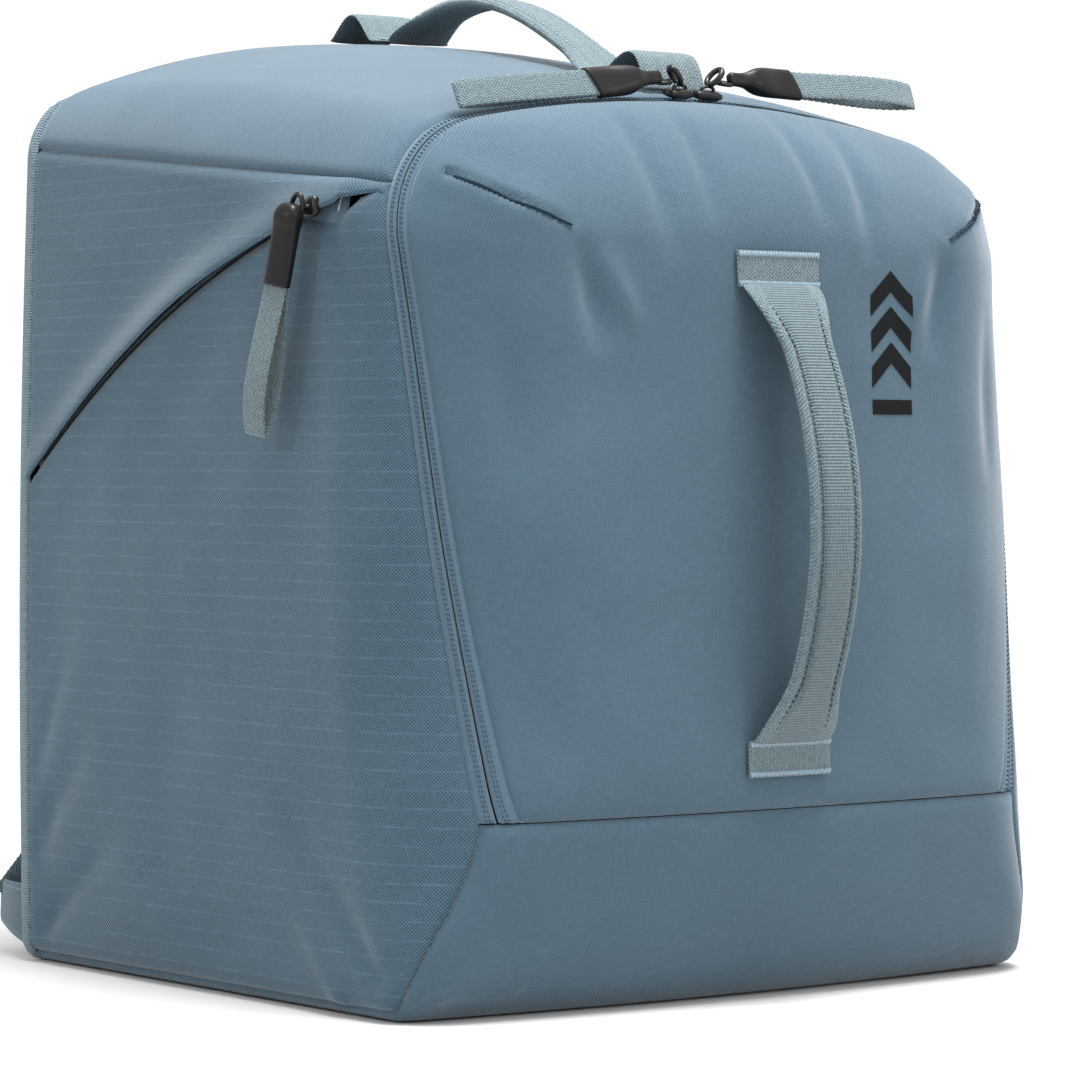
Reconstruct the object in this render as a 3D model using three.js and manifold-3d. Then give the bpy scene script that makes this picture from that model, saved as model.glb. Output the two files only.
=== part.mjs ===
// A ski boot backpack: a padded fabric box that is deeper at the foot, where the boot soles stand, than at
// the top. A U-shaped zip lets the front flap fold down over a seam near the floor. It has a grab handle on
// the flap, a haul handle along the top, a slanted zip pocket on each side and a shoulder harness behind.
//
// Millimetres. +Z is up, -Y is the front, +X is the right of someone facing the front. The origin is on the
// floor, midway between the sides.
//
// Every fabric wall is cut out of one shell, whose form is a box with rounded edges. A seam is a line in the
// side view, so each panel is the shell inside a prism that runs from side to side.

import * as THREE from "three";
import { mergeVertices } from "three/addons/utils/BufferGeometryUtils.js";
import Module from "manifold-3d";

const wasm = await Module();
wasm.setup();

// ---- driving dimensions --------------------------------------------------------------------------
const WIDTH = 390; // across the sides at the floor
const HEIGHT = 472; // floor to the crown at the back
const BACK_DEPTH = 166; // origin to the back face
const BELLY_DEPTH = 205; // origin to the front face where it is fullest
const WALL = 4; // padded fabric

const SIDE_TAPER = 7; // how much each side leans in over the height
const SIDE_BULGE = 4;
const FRONT_BOW = 14; // how far the front face falls back towards its sides
const TOP_MID_DROP = 17; // crown height lost at mid depth and at the zip
const TOP_FRONT_DROP = 47;
const CROWN_FRONT = 0.0007; // sideways curvature of the top, per mm
const CROWN_BACK = 0.00112;

const BELLY_Z = 110; // heights of the front profile's points
const KICK_Z = 40;
const SHOULDER_DROP = 122; // below HEIGHT
const FOOT_TUCK = 29; // how far the profile lies behind the belly at each point
const KICK_TUCK = 10;
const SHOULDER_TUCK = 9;
const CROWN_TUCK = 16;

const CORNER_FOOT = 14; // radius of the front upright corners: at the floor, at the fold seam, at mid height
const CORNER_SEAM = 64; // and at the top
const CORNER_MID = 78;
const CORNER_TOP = 58;
const CORNER_BACK = 10;
const TOP_EDGE_BACK = 26; // radius of the top's edges, growing towards the front
const TOP_EDGE_FRONT = 52;
const FLOOR_EDGE = 12;

const SEAM_GAP = 0.4; // clear space between two sewn panels
const CLEAR = 0.4; // clear space between pieces that rest on each other

const ZIP_FOOT_Z = 90; // the flap's fold seam
const ZIP_FOOT_Y = -190; // the zip's line in the side view
const ZIP_TOP_Y = -134;
const TAPE_HALF = 4.4; // zip tape each side of the coil, in the side view
const TOP_SEAM_FRONT_DROP = 92; // side-to-top seam below HEIGHT, at the zip and at the back
const TOP_SEAM_BACK_DROP = 63;
const BASE_SEAM_RISE = 0.5; // the sides end this far above the floor wall
const BASE_SEAM_Z = WALL + BASE_SEAM_RISE;
const BINDING_WIDTH = 10; // band around the back panel
const BASE_CORNER_Y = -158; // where the base seam meets the lower front's side seam
const LOWER_SEAM_BEND = 1.7; // how late the lower front's side seam turns back

const BOARD = 2.5; // base stiffener
const FRAME_SHEET = 3;

const POCKET_RADIUS = 640; // the pocket zip's arc, in the side view
const POCKET_SLOT = 9;
const POCKET_FRONT_Y = -113;
const POCKET_FRONT_DROP = 101; // below HEIGHT
const POCKET_BACK_Y = 144;
const POCKET_BACK_DROP = 222;
const POUCH = 1.6;
const POUCH_INSET = 0.02; // from the slot's front end, as a share of the slot
const POUCH_DROP = 190; // how far the pouch hangs below the slot's front end

const WEB = 2; // webbing thickness
const HANDLE_WEB_WIDTH = 50; // front handle, flat at its ends and folded over a core between them
const HANDLE_GRIP_WIDTH = 28;
const HANDLE_GRIP_THICK = 6;
const HANDLE_TOP_DROP = 122; // top edge of the upper patch, below HEIGHT
const HANDLE_FOOT_Z = 106; // bottom edge of the lower patch
const HANDLE_PATCH = 17;
const HANDLE_RISE = 36;
const HANDLE_END_LIFT = 14;
const GRIP_GAP = 2; // between a patch and the folded grip
const ARCH_FULLNESS = 0.8; // below 1, an arch is fuller than a sine

const HAUL_WIDTH = 38;
const HAUL_GRIP_WIDTH = 26;
const HAUL_GRIP_THICK = 6;
const HAUL_RISE = 23;
const HAUL_END_LIFT = 12;
const HAUL_LEAN = 1.35; // the arch peaks behind its middle
const HAUL_BACK_Y = 140; // back ends of the haul strap and of its big arch
const HAUL_ARCH_BACK_Y = 88;
const HAUL_FRONT_MARGIN = 9; // short of the zip tape
const HAUL_FRONT_TACK = 14.6; // flat stretch between the front loop and the arch
const LOOP_RISE = 12;
const LOOP_SPAN = 36;
const LOOP_PEAK = 1.4; // above 1, a loop is more pointed than a sine
const LOOP_END_GAP = 1.5;

const SLIDER_LENGTH = 14;
const SLIDER_WIDTH = 9;
const SLIDER_HEIGHT = 5;
const SLIDER_NOSE = 0.6; // width at the nose, as a share
const SLIDER_CORNER = 2;
const SLIDER_SOFT = 0.8;
const SLIDER_SPACING = 17; // between the two main sliders' centres
const PULL_LENGTH = 40; // moulded grip
const PULL_WIDTH = 15;
const PULL_THICK = 7;
const PULL_NECK = 0.6; // width next to the ring, as a share
const PULL_CORNER = 2;
const PULL_SOFT = 1.5;
const LINK_LENGTH = 13;
const LINK_WIDTH = 9;
const LINK_THICK = 2;
const LINK_WIRE = 2.6;
const LINK_CORNER = LINK_WIDTH / 2.2;
const LINK_SOFT = 0.5;
const LOOP_LENGTH = 78; // webbing loop of a main pull
const LOOP_WIDTH = 14;
const LOOP_THICK = 1.4;
const LOOP_GAP = 3;
const LEFT_DROOP = 0.13; // slope of each main pull towards the fabric
const RIGHT_DROOP = 0.03;
const SIDE_PULL_LENGTH = 34;
const SIDE_LOOP_LENGTH = 68;
const SIDE_PULL_LEAN = 13; // degrees back from plumb
const SIDE_PULL_FLARE = 0.03; // slope away from the panel
const LINK_LAP = 8; // how far a hanging ring lies over its slider
const POCKET_CLEAR = 1.2; // under the pocket slider, which runs over a face that bulges
const POCKET_SLIDER_AT = 0.06; // its place along the slot

const PAD_THICK = 9; // back pads
const PAD_WIDTH = 120;
const PAD_SPACING = 150; // between the two pads' centres
const PAD_BOTTOM_Z = 60;
const PAD_TOP_DROP = 92;
const STRAP_WIDTH = 62; // shoulder straps
const STRAP_THICK = 11;
const SPREAD = WIDTH / 390; // the harness spreads with the bag
const STRAP_TOP_X = 62 * SPREAD;
const STRAP_MID_X = 88 * SPREAD;
const STRAP_END_X = 118 * SPREAD;
const STRAP_TOP_DROP = 70; // the pivot in the yoke, below HEIGHT
const STRAP_END_Z = 128;
const STRAP_TAPER = 0.8; // width at the lower end, as a share
const STRAP_REST = 2; // between the strap's ends and the pads
const STRAP_BOW = 26; // how far the strap stands off the pads at its middle
const YOKE_HEIGHT = 26;
const YOKE_WIDTH = 196;
const YOKE_THICK = 5;
const LOWER_WEB_WIDTH = 20;
const LOCK_HEIGHT = 26;
const LOCK_WIDTH = 30;
const LOCK_THICK = 7;
const LOCK_BAR = 6;
const LOCK_SOFT = 1;
const LOCK_GAP = 6 * SPREAD; // between the lock and the webbing, which slants more on a wider bag
const WING_HEIGHT = 32;
const WING_REACH = 40;
const WING_LEAN = 8;
const WING_RISE = 4;
const WING_FOOT_Z = 5;
const WING_THICK = 2.4;
const WING_TIP_SPARE = 2; // wider than the web that leaves it
const WEB_START = [-2, 1, 2]; // the web's start from the wing's tip: inwards, back and up
const WEB_SLACK = 4; // how far the web bows backwards
const WEB_STEPS = 6;
const WEB_TWIST = 1.4; // above 1, the web has turned flat before it meets the lock
const STERNUM_DROP = 175; // below HEIGHT
const STERNUM_WEB = 42;
const BUCKLE_LENGTH = 26;
const BUCKLE_WIDTH = 22;
const BUCKLE_THICK = 7;
const TAB_LENGTH = 12; // the solid half of the pronged buckle
const PRONG_LENGTH = 18;
const PRONG_PITCH = 7;
const PRONG = 3;
const PRONG_SEAT = 3; // how far the prongs reach into the tab
const STERNUM_REST = 2; // between the half strap and the shoulder strap

const GRID = 12; // shell facets along each side of the box
const CROWDING = 0.6; // how far the facets crowd towards the box's edges, from 0 to 1
const SEAM_ROUNDS = 8; // to find where the zip and the top seam meet
const HALVINGS = 40; // of a ray, when its meeting with the form is sought
const FAR = 700; // reaches past the bag

// ---- the bag's form ------------------------------------------------------------------------------
const lerp = (a, b, t) => a + (b - a) * t;
const clamp01 = (t) => Math.min(1, Math.max(0, t));

// A smooth curve through [position, value] pairs, flat beyond its ends.
function through(knots, t) {
  const last = knots.length - 1;
  if (t <= knots[0][0]) return knots[0][1];
  if (t >= knots[last][0]) return knots[last][1];
  let i = 0;
  while (t > knots[i + 1][0]) i += 1;
  const slope = (k) => {
    const a = knots[Math.max(0, k - 1)];
    const b = knots[Math.min(last, k + 1)];
    return (b[1] - a[1]) / (b[0] - a[0]);
  };
  const h = knots[i + 1][0] - knots[i][0];
  const s = (t - knots[i][0]) / h;
  return (
    (2 * s ** 3 - 3 * s ** 2 + 1) * knots[i][1] +
    (s ** 3 - 2 * s ** 2 + s) * h * slope(i) +
    (3 * s ** 2 - 2 * s ** 3) * knots[i + 1][1] +
    (s ** 3 - s ** 2) * h * slope(i + 1)
  );
}

const halfWidth = (z) =>
  WIDTH / 2 - (SIDE_TAPER * z) / HEIGHT + SIDE_BULGE * Math.sin(Math.PI * clamp01(z / HEIGHT));

const frontDepth = (z) =>
  through(
    [
      [0, BELLY_DEPTH - FOOT_TUCK],
      [KICK_Z, BELLY_DEPTH - KICK_TUCK],
      [BELLY_Z, BELLY_DEPTH],
      [HEIGHT - SHOULDER_DROP, BELLY_DEPTH - SHOULDER_TUCK],
      [HEIGHT, BELLY_DEPTH - CROWN_TUCK],
    ],
    z,
  );

// The crown line is the parabola through its heights at the back, at the origin and over the zip.
function crownZ(y) {
  const back = TOP_MID_DROP / BACK_DEPTH;
  const front = (TOP_MID_DROP - TOP_FRONT_DROP) / ZIP_TOP_Y;
  const curve = (back - front) / (BACK_DEPTH - ZIP_TOP_Y);
  return HEIGHT - TOP_MID_DROP + (back - curve * BACK_DEPTH) * y + curve * y * y;
}

function topZ(x, y) {
  const t = clamp01((y + BACK_DEPTH) / (2 * BACK_DEPTH));
  return crownZ(y) - lerp(CROWN_FRONT, CROWN_BACK, t) * x * x;
}

const cornerRadius = (z) =>
  through(
    [
      [0, CORNER_FOOT],
      [ZIP_FOOT_Z, CORNER_SEAM],
      [HEIGHT / 2, CORNER_MID],
      [HEIGHT - SHOULDER_DROP, CORNER_MID],
      [HEIGHT, CORNER_TOP],
    ],
    z,
  );

// The deeper of two distances, rounded off with radius r where both are near zero.
function rounded(a, b, r) {
  return Math.min(Math.max(a, b), -r) + Math.hypot(Math.max(a + r, 0), Math.max(b + r, 0));
}

// Below zero inside the bag's outer form, zero on it.
function form(p) {
  const across = Math.abs(p.x);
  const side = across - halfWidth(p.z);
  const front = -p.y - (frontDepth(p.z) - FRONT_BOW * ((2 * across) / WIDTH) ** 2);
  const upright = cornerRadius(p.z);
  const edge = lerp(TOP_EDGE_BACK, TOP_EDGE_FRONT, clamp01((BACK_DEPTH - p.y) / (BACK_DEPTH + BELLY_DEPTH)));
  let d = rounded(side, front, upright);
  d = rounded(d, p.y - BACK_DEPTH, CORNER_BACK);
  d = rounded(d, p.z - topZ(p.x, p.y), edge);
  return rounded(d, -p.z, FLOOR_EDGE);
}

function formNormal(p) {
  const step = 0.5;
  const at = (dx, dy, dz) => form(new THREE.Vector3(p.x + dx, p.y + dy, p.z + dz));
  return new THREE.Vector3(
    at(step, 0, 0) - at(-step, 0, 0),
    at(0, step, 0) - at(0, -step, 0),
    at(0, 0, step) - at(0, 0, -step),
  ).normalize();
}

const HUB = new THREE.Vector3(0, (BACK_DEPTH - BELLY_DEPTH) / 2, HEIGHT / 2);

// The point of the form on the ray from a point inside it.
function cast(from, direction) {
  const ray = direction.clone().normalize();
  let near = 0;
  let far = FAR;
  for (let i = 0; i < HALVINGS; i += 1) {
    const mid = (near + far) / 2;
    if (form(from.clone().addScaledVector(ray, mid)) > 0) far = mid;
    else near = mid;
  }
  return from.clone().addScaledVector(ray, near);
}

// A point on each face, raised off it, from the two coordinates that the face shows.
function raised(p, lift) {
  return p.clone().addScaledVector(formNormal(p), lift);
}
const FORWARD = new THREE.Vector3(0, -1, 0);
const UP = new THREE.Vector3(0, 0, 1);
const onFront = (x, z, lift = 0) => raised(cast(new THREE.Vector3(x, HUB.y, z), FORWARD), lift);
const onTop = (x, y, lift = 0) => raised(cast(new THREE.Vector3(x, y, HUB.z), UP), lift);
const onSide = (side, y, z) => cast(new THREE.Vector3(0, y, z), new THREE.Vector3(side, 0, 0));

// ---- solids --------------------------------------------------------------------------------------
function solidOf(geometry) {
  const bare = geometry.clone();
  for (const name of Object.keys(bare.attributes)) {
    if (name !== "position") bare.deleteAttribute(name);
  }
  const merged = mergeVertices(bare, 1e-4);
  return new wasm.Manifold(
    new wasm.Mesh({
      numProp: 3,
      vertProperties: merged.attributes.position.array,
      triVerts: new Uint32Array(merged.index.array),
    }),
  );
}

function geometryOf(solid) {
  const mesh = solid.getMesh();
  const positions = new Float32Array(mesh.numVert * 3);
  for (let i = 0; i < mesh.numVert; i += 1) {
    positions.set(mesh.vertProperties.subarray(i * mesh.numProp, i * mesh.numProp + 3), i * 3);
  }
  const geometry = new THREE.BufferGeometry();
  geometry.setAttribute("position", new THREE.BufferAttribute(positions, 3));
  geometry.setIndex(new THREE.BufferAttribute(mesh.triVerts, 1));
  return geometry;
}

// The whole form as a solid, taken in by an inset. A box's faces are gridded and cast out on to the form,
// with the grid closer together near the box's edges.
function formSolid(inset) {
  const box = new THREE.BoxGeometry(2, 2, 2, GRID, GRID, GRID);
  const corner = box.attributes.position;
  const reach = new THREE.Vector3(WIDTH / 2, (BACK_DEPTH + BELLY_DEPTH) / 2, HEIGHT / 2);
  const crowd = (t) => Math.sin((t * Math.PI) / 2) * CROWDING + t * (1 - CROWDING);
  for (let i = 0; i < corner.count; i += 1) {
    const direction = new THREE.Vector3(crowd(corner.getX(i)), crowd(corner.getY(i)), crowd(corner.getZ(i)));
    const p = cast(HUB, direction.multiply(reach));
    p.addScaledVector(formNormal(p), -inset);
    corner.setXYZ(i, p.x, p.y, p.z);
  }
  return solidOf(box);
}

// A prism across the whole bag whose outline is drawn in the side view, as [y, z] points.
function sidePrism(points) {
  const outline = new THREE.Shape(points.map(([y, z]) => new THREE.Vector2(y, z)));
  const geometry = new THREE.ExtrudeGeometry(outline, { depth: 2 * FAR, bevelEnabled: false });
  geometry.translate(0, 0, -FAR);
  geometry.applyMatrix4(new THREE.Matrix4().set(0, 0, 1, 0, 1, 0, 0, 0, 0, 1, 0, 0, 0, 0, 0, 1));
  return solidOf(geometry);
}

// A flat band along a line of points: its width lies along `across`, which may differ at each point.
function band(points, across, widths, thick, closed = false) {
  const n = points.length;
  const positions = [];
  const indices = [];
  for (let i = 0; i < n; i += 1) {
    const before = points[closed ? (i + n - 1) % n : Math.max(0, i - 1)];
    const after = points[closed ? (i + 1) % n : Math.min(n - 1, i + 1)];
    const along = after.clone().sub(before).normalize();
    const side = (Array.isArray(across) ? across[i] : across).clone();
    side.addScaledVector(along, -side.dot(along)).normalize();
    const out = new THREE.Vector3().crossVectors(side, along);
    const half = (Array.isArray(widths) ? widths[i] : widths) / 2;
    for (const [s, t] of [[-1, -1], [1, -1], [1, 1], [-1, 1]]) {
      const p = points[i].clone().addScaledVector(side, s * half).addScaledVector(out, (t * thick) / 2);
      positions.push(p.x, p.y, p.z);
    }
  }
  const rings = closed ? n : n - 1;
  for (let i = 0; i < rings; i += 1) {
    const a = 4 * i;
    const b = 4 * ((i + 1) % n);
    for (let k = 0; k < 4; k += 1) {
      const m = (k + 1) % 4;
      indices.push(a + k, b + m, a + m, a + k, b + k, b + m);
    }
  }
  if (!closed) {
    const z = 4 * (n - 1);
    indices.push(0, 1, 2, 0, 2, 3, z, z + 2, z + 1, z, z + 3, z + 2);
  }
  const geometry = new THREE.BufferGeometry();
  geometry.setAttribute("position", new THREE.BufferAttribute(new Float32Array(positions), 3));
  geometry.setIndex(indices);
  return facingOut(geometry);
}

// The same geometry with its faces turned round where they point inwards.
function facingOut(geometry) {
  const index = geometry.index.array;
  const p = geometry.attributes.position;
  const [a, b, c] = [new THREE.Vector3(), new THREE.Vector3(), new THREE.Vector3()];
  let volume = 0;
  for (let i = 0; i < index.length; i += 3) {
    a.fromBufferAttribute(p, index[i]);
    b.fromBufferAttribute(p, index[i + 1]);
    c.fromBufferAttribute(p, index[i + 2]);
    volume += a.dot(b.cross(c));
  }
  if (volume < 0) {
    for (let i = 0; i < index.length; i += 3) {
      [index[i + 1], index[i + 2]] = [index[i + 2], index[i + 1]];
    }
  }
  return geometry;
}

// ---- materials -----------------------------------------------------------------------------------
const cloth = (colour) => new THREE.MeshStandardMaterial({ color: colour, roughness: 0.85, metalness: 0 });
const FABRIC = cloth(0x5f7f96);
const RIPSTOP = cloth(0x587788);
const WEBBING = cloth(0x7d979d);
const TAPE = cloth(0x6b8796);
const MESH_CLOTH = cloth(0x3d4a52);
const LINING = cloth(0x8b979d);
const MOULDED = new THREE.MeshStandardMaterial({ color: 0x241f1f, roughness: 0.4, metalness: 0 });
const BOARD_PLASTIC = new THREE.MeshStandardMaterial({ color: 0x2c3135, roughness: 0.6, metalness: 0 });

const bag = new THREE.Group();
bag.name = "ski_boot_bag";

function add(name, geometry, material) {
  const mesh = new THREE.Mesh(geometry, material);
  mesh.name = name;
  bag.add(mesh);
  return mesh;
}

// Splits a solid that has one piece on each side and adds both.
function addPair(name, solid, material) {
  for (const piece of solid.decompose()) {
    const box = piece.boundingBox();
    add(`${box.min[0] + box.max[0] < 0 ? "left" : "right"}_${name}`, geometryOf(piece), material);
  }
}

// ---- panels, cut from the shell at their seams ---------------------------------------------------
const gap = SEAM_GAP / 2;
const TOP_FRONT_Z = HEIGHT - TOP_FRONT_DROP;
const BINDING_BACK_Y = BACK_DEPTH - WALL;
const BINDING_FRONT_Y = BINDING_BACK_Y - BINDING_WIDTH;

// The zip's lines in the side view: -1 is the tape's edge on the flap, 0 the coil, 1 the edge on the body.
function zipY(line, z) {
  const t = (z - ZIP_FOOT_Z) / (TOP_FRONT_Z - ZIP_FOOT_Z);
  return lerp(ZIP_FOOT_Y, ZIP_TOP_Y, t) + line * TAPE_HALF;
}

function topSeamZ(y) {
  const t = (y - ZIP_TOP_Y) / (BINDING_FRONT_Y - ZIP_TOP_Y);
  return HEIGHT - lerp(TOP_SEAM_FRONT_DROP, TOP_SEAM_BACK_DROP, t);
}

// Where the top seam meets the body edge of the zip tape.
function topSeamMeet() {
  let z = topSeamZ(ZIP_TOP_Y);
  for (let i = 0; i < SEAM_ROUNDS; i += 1) z = topSeamZ(zipY(1, z));
  return [zipY(1, z), z];
}

// The lower front's side seam, from the zip's foot down to the base seam.
function lowerSeam(offset) {
  const top = zipY(1, ZIP_FOOT_Z);
  const points = [];
  const steps = 5;
  for (let i = 0; i <= steps; i += 1) {
    const t = i / steps;
    points.push([lerp(top, BASE_CORNER_Y, t ** LOWER_SEAM_BEND) + offset, lerp(ZIP_FOOT_Z, BASE_SEAM_Z, t)]);
  }
  return points;
}

function panelOutlines() {
  const [meetY, meetZ] = topSeamMeet();
  const behind = BINDING_FRONT_Y - gap;
  const above = ZIP_FOOT_Z + gap;
  const strip = (front, frontGap, back, backGap) => [
    [zipY(back, above) - backGap, above],
    [zipY(back, FAR) - backGap, FAR],
    [zipY(front, FAR) + frontGap, FAR],
    [zipY(front, above) + frontGap, above],
  ];
  const base = lowerSeam(-gap);
  const side = lowerSeam(gap);
  side[side.length - 1][1] = BASE_SEAM_Z + gap;
  base[0][1] = ZIP_FOOT_Z - gap;
  base[base.length - 1][1] = BASE_SEAM_Z - gap;
  return {
    sides: [
      ...side,
      [behind, BASE_SEAM_Z + gap],
      [behind, topSeamZ(behind) - gap],
      [meetY + gap, meetZ - gap],
    ],
    base: [[-FAR, ZIP_FOOT_Z - gap], ...base, [behind, BASE_SEAM_Z - gap], [behind, -FAR], [-FAR, -FAR]],
    top: [
      [meetY + gap, meetZ + gap],
      [behind, topSeamZ(behind) + gap],
      [behind, FAR],
      [zipY(1, FAR) + gap, FAR],
    ],
    bodyTape: strip(0, gap, 1, gap),
    flapTape: strip(-1, gap, 0, gap),
    flap: [
      [-FAR, above],
      [zipY(-1, above) - gap, above],
      [zipY(-1, FAR) - gap, FAR],
      [-FAR, FAR],
    ],
    binding: [
      [BINDING_FRONT_Y + gap, -FAR],
      [BINDING_BACK_Y - gap, -FAR],
      [BINDING_BACK_Y - gap, FAR],
      [BINDING_FRONT_Y + gap, FAR],
    ],
    back: [
      [BINDING_BACK_Y + gap, -FAR],
      [FAR, -FAR],
      [FAR, FAR],
      [BINDING_BACK_Y + gap, FAR],
    ],
  };
}

// The pocket zip's arc: its centre, and the angles of its ends about that centre.
function pocketArc() {
  const front = new THREE.Vector2(POCKET_FRONT_Y, HEIGHT - POCKET_FRONT_DROP);
  const back = new THREE.Vector2(POCKET_BACK_Y, HEIGHT - POCKET_BACK_DROP);
  const chord = back.clone().sub(front);
  const down = new THREE.Vector2(chord.y, -chord.x).normalize();
  const drop = Math.sqrt(POCKET_RADIUS ** 2 - chord.lengthSq() / 4);
  const centre = front.clone().addScaledVector(chord, 0.5).addScaledVector(down, drop);
  const angle = (p) => Math.atan2(p.y - centre.y, p.x - centre.x);
  return { centre, start: angle(front), end: angle(back) };
}

const pocketPoint = (arc, t, radius) => {
  const a = lerp(arc.start, arc.end, t);
  return [arc.centre.x + radius * Math.cos(a), arc.centre.y + radius * Math.sin(a)];
};

function pocketStrip(arc, width, endGap) {
  const steps = 10;
  const margin = endGap / (POCKET_RADIUS * Math.abs(arc.end - arc.start));
  const edge = (radius) =>
    Array.from({ length: steps + 1 }, (_, i) => {
      const t = lerp(margin, 1 - margin, i / steps);
      return pocketPoint(arc, t, radius);
    });
  return sidePrism([...edge(POCKET_RADIUS - width / 2), ...edge(POCKET_RADIUS + width / 2).reverse()]);
}

function addPanels() {
  const outer = formSolid(0);
  const lining = formSolid(WALL);
  const shell = outer.subtract(lining);
  const outlines = panelOutlines();
  const cut = (name) => shell.intersect(sidePrism(outlines[name]));
  const arc = pocketArc();

  addPair("side_panel", cut("sides").subtract(pocketStrip(arc, POCKET_SLOT, 0)), RIPSTOP);
  add("base_wrap", geometryOf(cut("base")), FABRIC);
  add("top_panel", geometryOf(cut("top")), FABRIC);
  add("zip_tape_body", geometryOf(cut("bodyTape")), TAPE);
  add("zip_tape_flap", geometryOf(cut("flapTape")), TAPE);
  add("front_flap", geometryOf(cut("flap")), FABRIC);
  add("edge_binding", geometryOf(cut("binding")), WEBBING);
  add("back_panel", geometryOf(cut("back")), FABRIC);

  // The pocket's zip tape lies in the inner half of its slot, and its pouch hangs behind the side panel.
  const halfIn = formSolid(WALL / 2);
  const tape = halfIn.subtract(lining).intersect(pocketStrip(arc, POCKET_SLOT - 2 * CLEAR, CLEAR));
  addPair("pocket_tape", tape, TAPE);
  const inside = formSolid(WALL + CLEAR);
  const pouchSheet = inside.subtract(formSolid(WALL + CLEAR + POUCH));
  const [frontY, frontZ] = pocketPoint(arc, POUCH_INSET, POCKET_RADIUS);
  const pouch = pouchSheet.intersect(
    sidePrism([
      [frontY, frontZ - POUCH_DROP],
      [POCKET_BACK_Y - BINDING_WIDTH, frontZ - POUCH_DROP],
      [POCKET_BACK_Y - BINDING_WIDTH, HEIGHT - POCKET_BACK_DROP],
      [frontY, frontZ],
    ]),
  );
  addPair("pocket_pouch", pouch, LINING);

  // The base board and the back's frame sheet are flat plates that fill the bag from wall to wall.
  const floorTop = WALL + CLEAR + BOARD;
  const backFace = BACK_DEPTH - WALL - CLEAR;
  const board = inside.intersect(
    sidePrism([
      [-FAR, 0],
      [backFace - FRAME_SHEET - CLEAR, 0],
      [backFace - FRAME_SHEET - CLEAR, floorTop],
      [-FAR, floorTop],
    ]),
  );
  add("base_board", geometryOf(board), BOARD_PLASTIC);
  const sheet = inside.intersect(
    sidePrism([
      [backFace - FRAME_SHEET, floorTop],
      [FAR, floorTop],
      [FAR, HEIGHT - PAD_TOP_DROP],
      [backFace - FRAME_SHEET, HEIGHT - PAD_TOP_DROP],
    ]),
  );
  add("back_frame_sheet", geometryOf(sheet), BOARD_PLASTIC);
}

// ---- handles -------------------------------------------------------------------------------------
const X_AXIS = new THREE.Vector3(1, 0, 0);
const steps = (n, make) => Array.from({ length: n + 1 }, (_, i) => make(i / n));
const arch = (t) => Math.sin(Math.PI * t) ** ARCH_FULLNESS;

function addFrontHandle() {
  const topZEdge = HEIGHT - HANDLE_TOP_DROP;
  const lift = CLEAR + WEB / 2;
  const patch = (low, high) => {
    const rise = steps(3, (t) => onFront(0, lerp(low, high, t), lift));
    return band(rise, X_AXIS, HANDLE_WEB_WIDTH, WEB);
  };
  add("front_handle_top_patch", patch(topZEdge - HANDLE_PATCH, topZEdge), WEBBING);
  add("front_handle_bottom_patch", patch(HANDLE_FOOT_Z, HANDLE_FOOT_Z + HANDLE_PATCH), WEBBING);
  const low = HANDLE_FOOT_Z + HANDLE_PATCH + GRIP_GAP;
  const high = topZEdge - HANDLE_PATCH - GRIP_GAP;
  const grip = steps(16, (t) => {
    const rise = lerp(HANDLE_END_LIFT, HANDLE_RISE, arch(t));
    return onFront(0, lerp(low, high, t), rise);
  });
  add("front_handle_grip", band(grip, X_AXIS, HANDLE_GRIP_WIDTH, HANDLE_GRIP_THICK), WEBBING);
}

// One length of webbing runs along the top from the zip to the back, tacked down at four places: a small
// loop at each end, and a folded grip that arches between them.
function addHaulHandle() {
  const lift = CLEAR + WEB / 2;
  const frontEnd = zipY(1, TOP_FRONT_Z) + HAUL_FRONT_MARGIN;
  const loop = (from, to) => {
    const rise = (t) => lift + LOOP_RISE * Math.sin(Math.PI * t) ** LOOP_PEAK;
    const span = steps(8, (t) => onTop(0, lerp(from, to, t), rise(t)));
    return band(span, X_AXIS, HAUL_WIDTH, WEB);
  };
  const strip = (from, to) => steps(2, (t) => onTop(0, lerp(from, to, t), lift));
  const backLoopEnd = HAUL_BACK_Y - LOOP_SPAN;
  const frontLoopEnd = frontEnd + LOOP_SPAN;
  const archFront = frontLoopEnd + HAUL_FRONT_TACK;
  add("haul_back_loop", loop(HAUL_BACK_Y, backLoopEnd + LOOP_END_GAP), WEBBING);
  add("haul_back_tack", band(strip(backLoopEnd, HAUL_ARCH_BACK_Y), X_AXIS, HAUL_WIDTH, WEB), WEBBING);
  add("haul_front_loop", loop(frontEnd, frontLoopEnd - LOOP_END_GAP), WEBBING);
  add("haul_front_tack", band(strip(frontLoopEnd, archFront), X_AXIS, HAUL_WIDTH, WEB), WEBBING);
  const grip = steps(16, (t) => {
    const lean = t ** HAUL_LEAN;
    return onTop(0, lerp(archFront, HAUL_ARCH_BACK_Y, t), lerp(HAUL_END_LIFT, HAUL_RISE, arch(lean)));
  });
  add("haul_grip", band(grip, X_AXIS, HAUL_GRIP_WIDTH, HAUL_GRIP_THICK), WEBBING);
}

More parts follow.
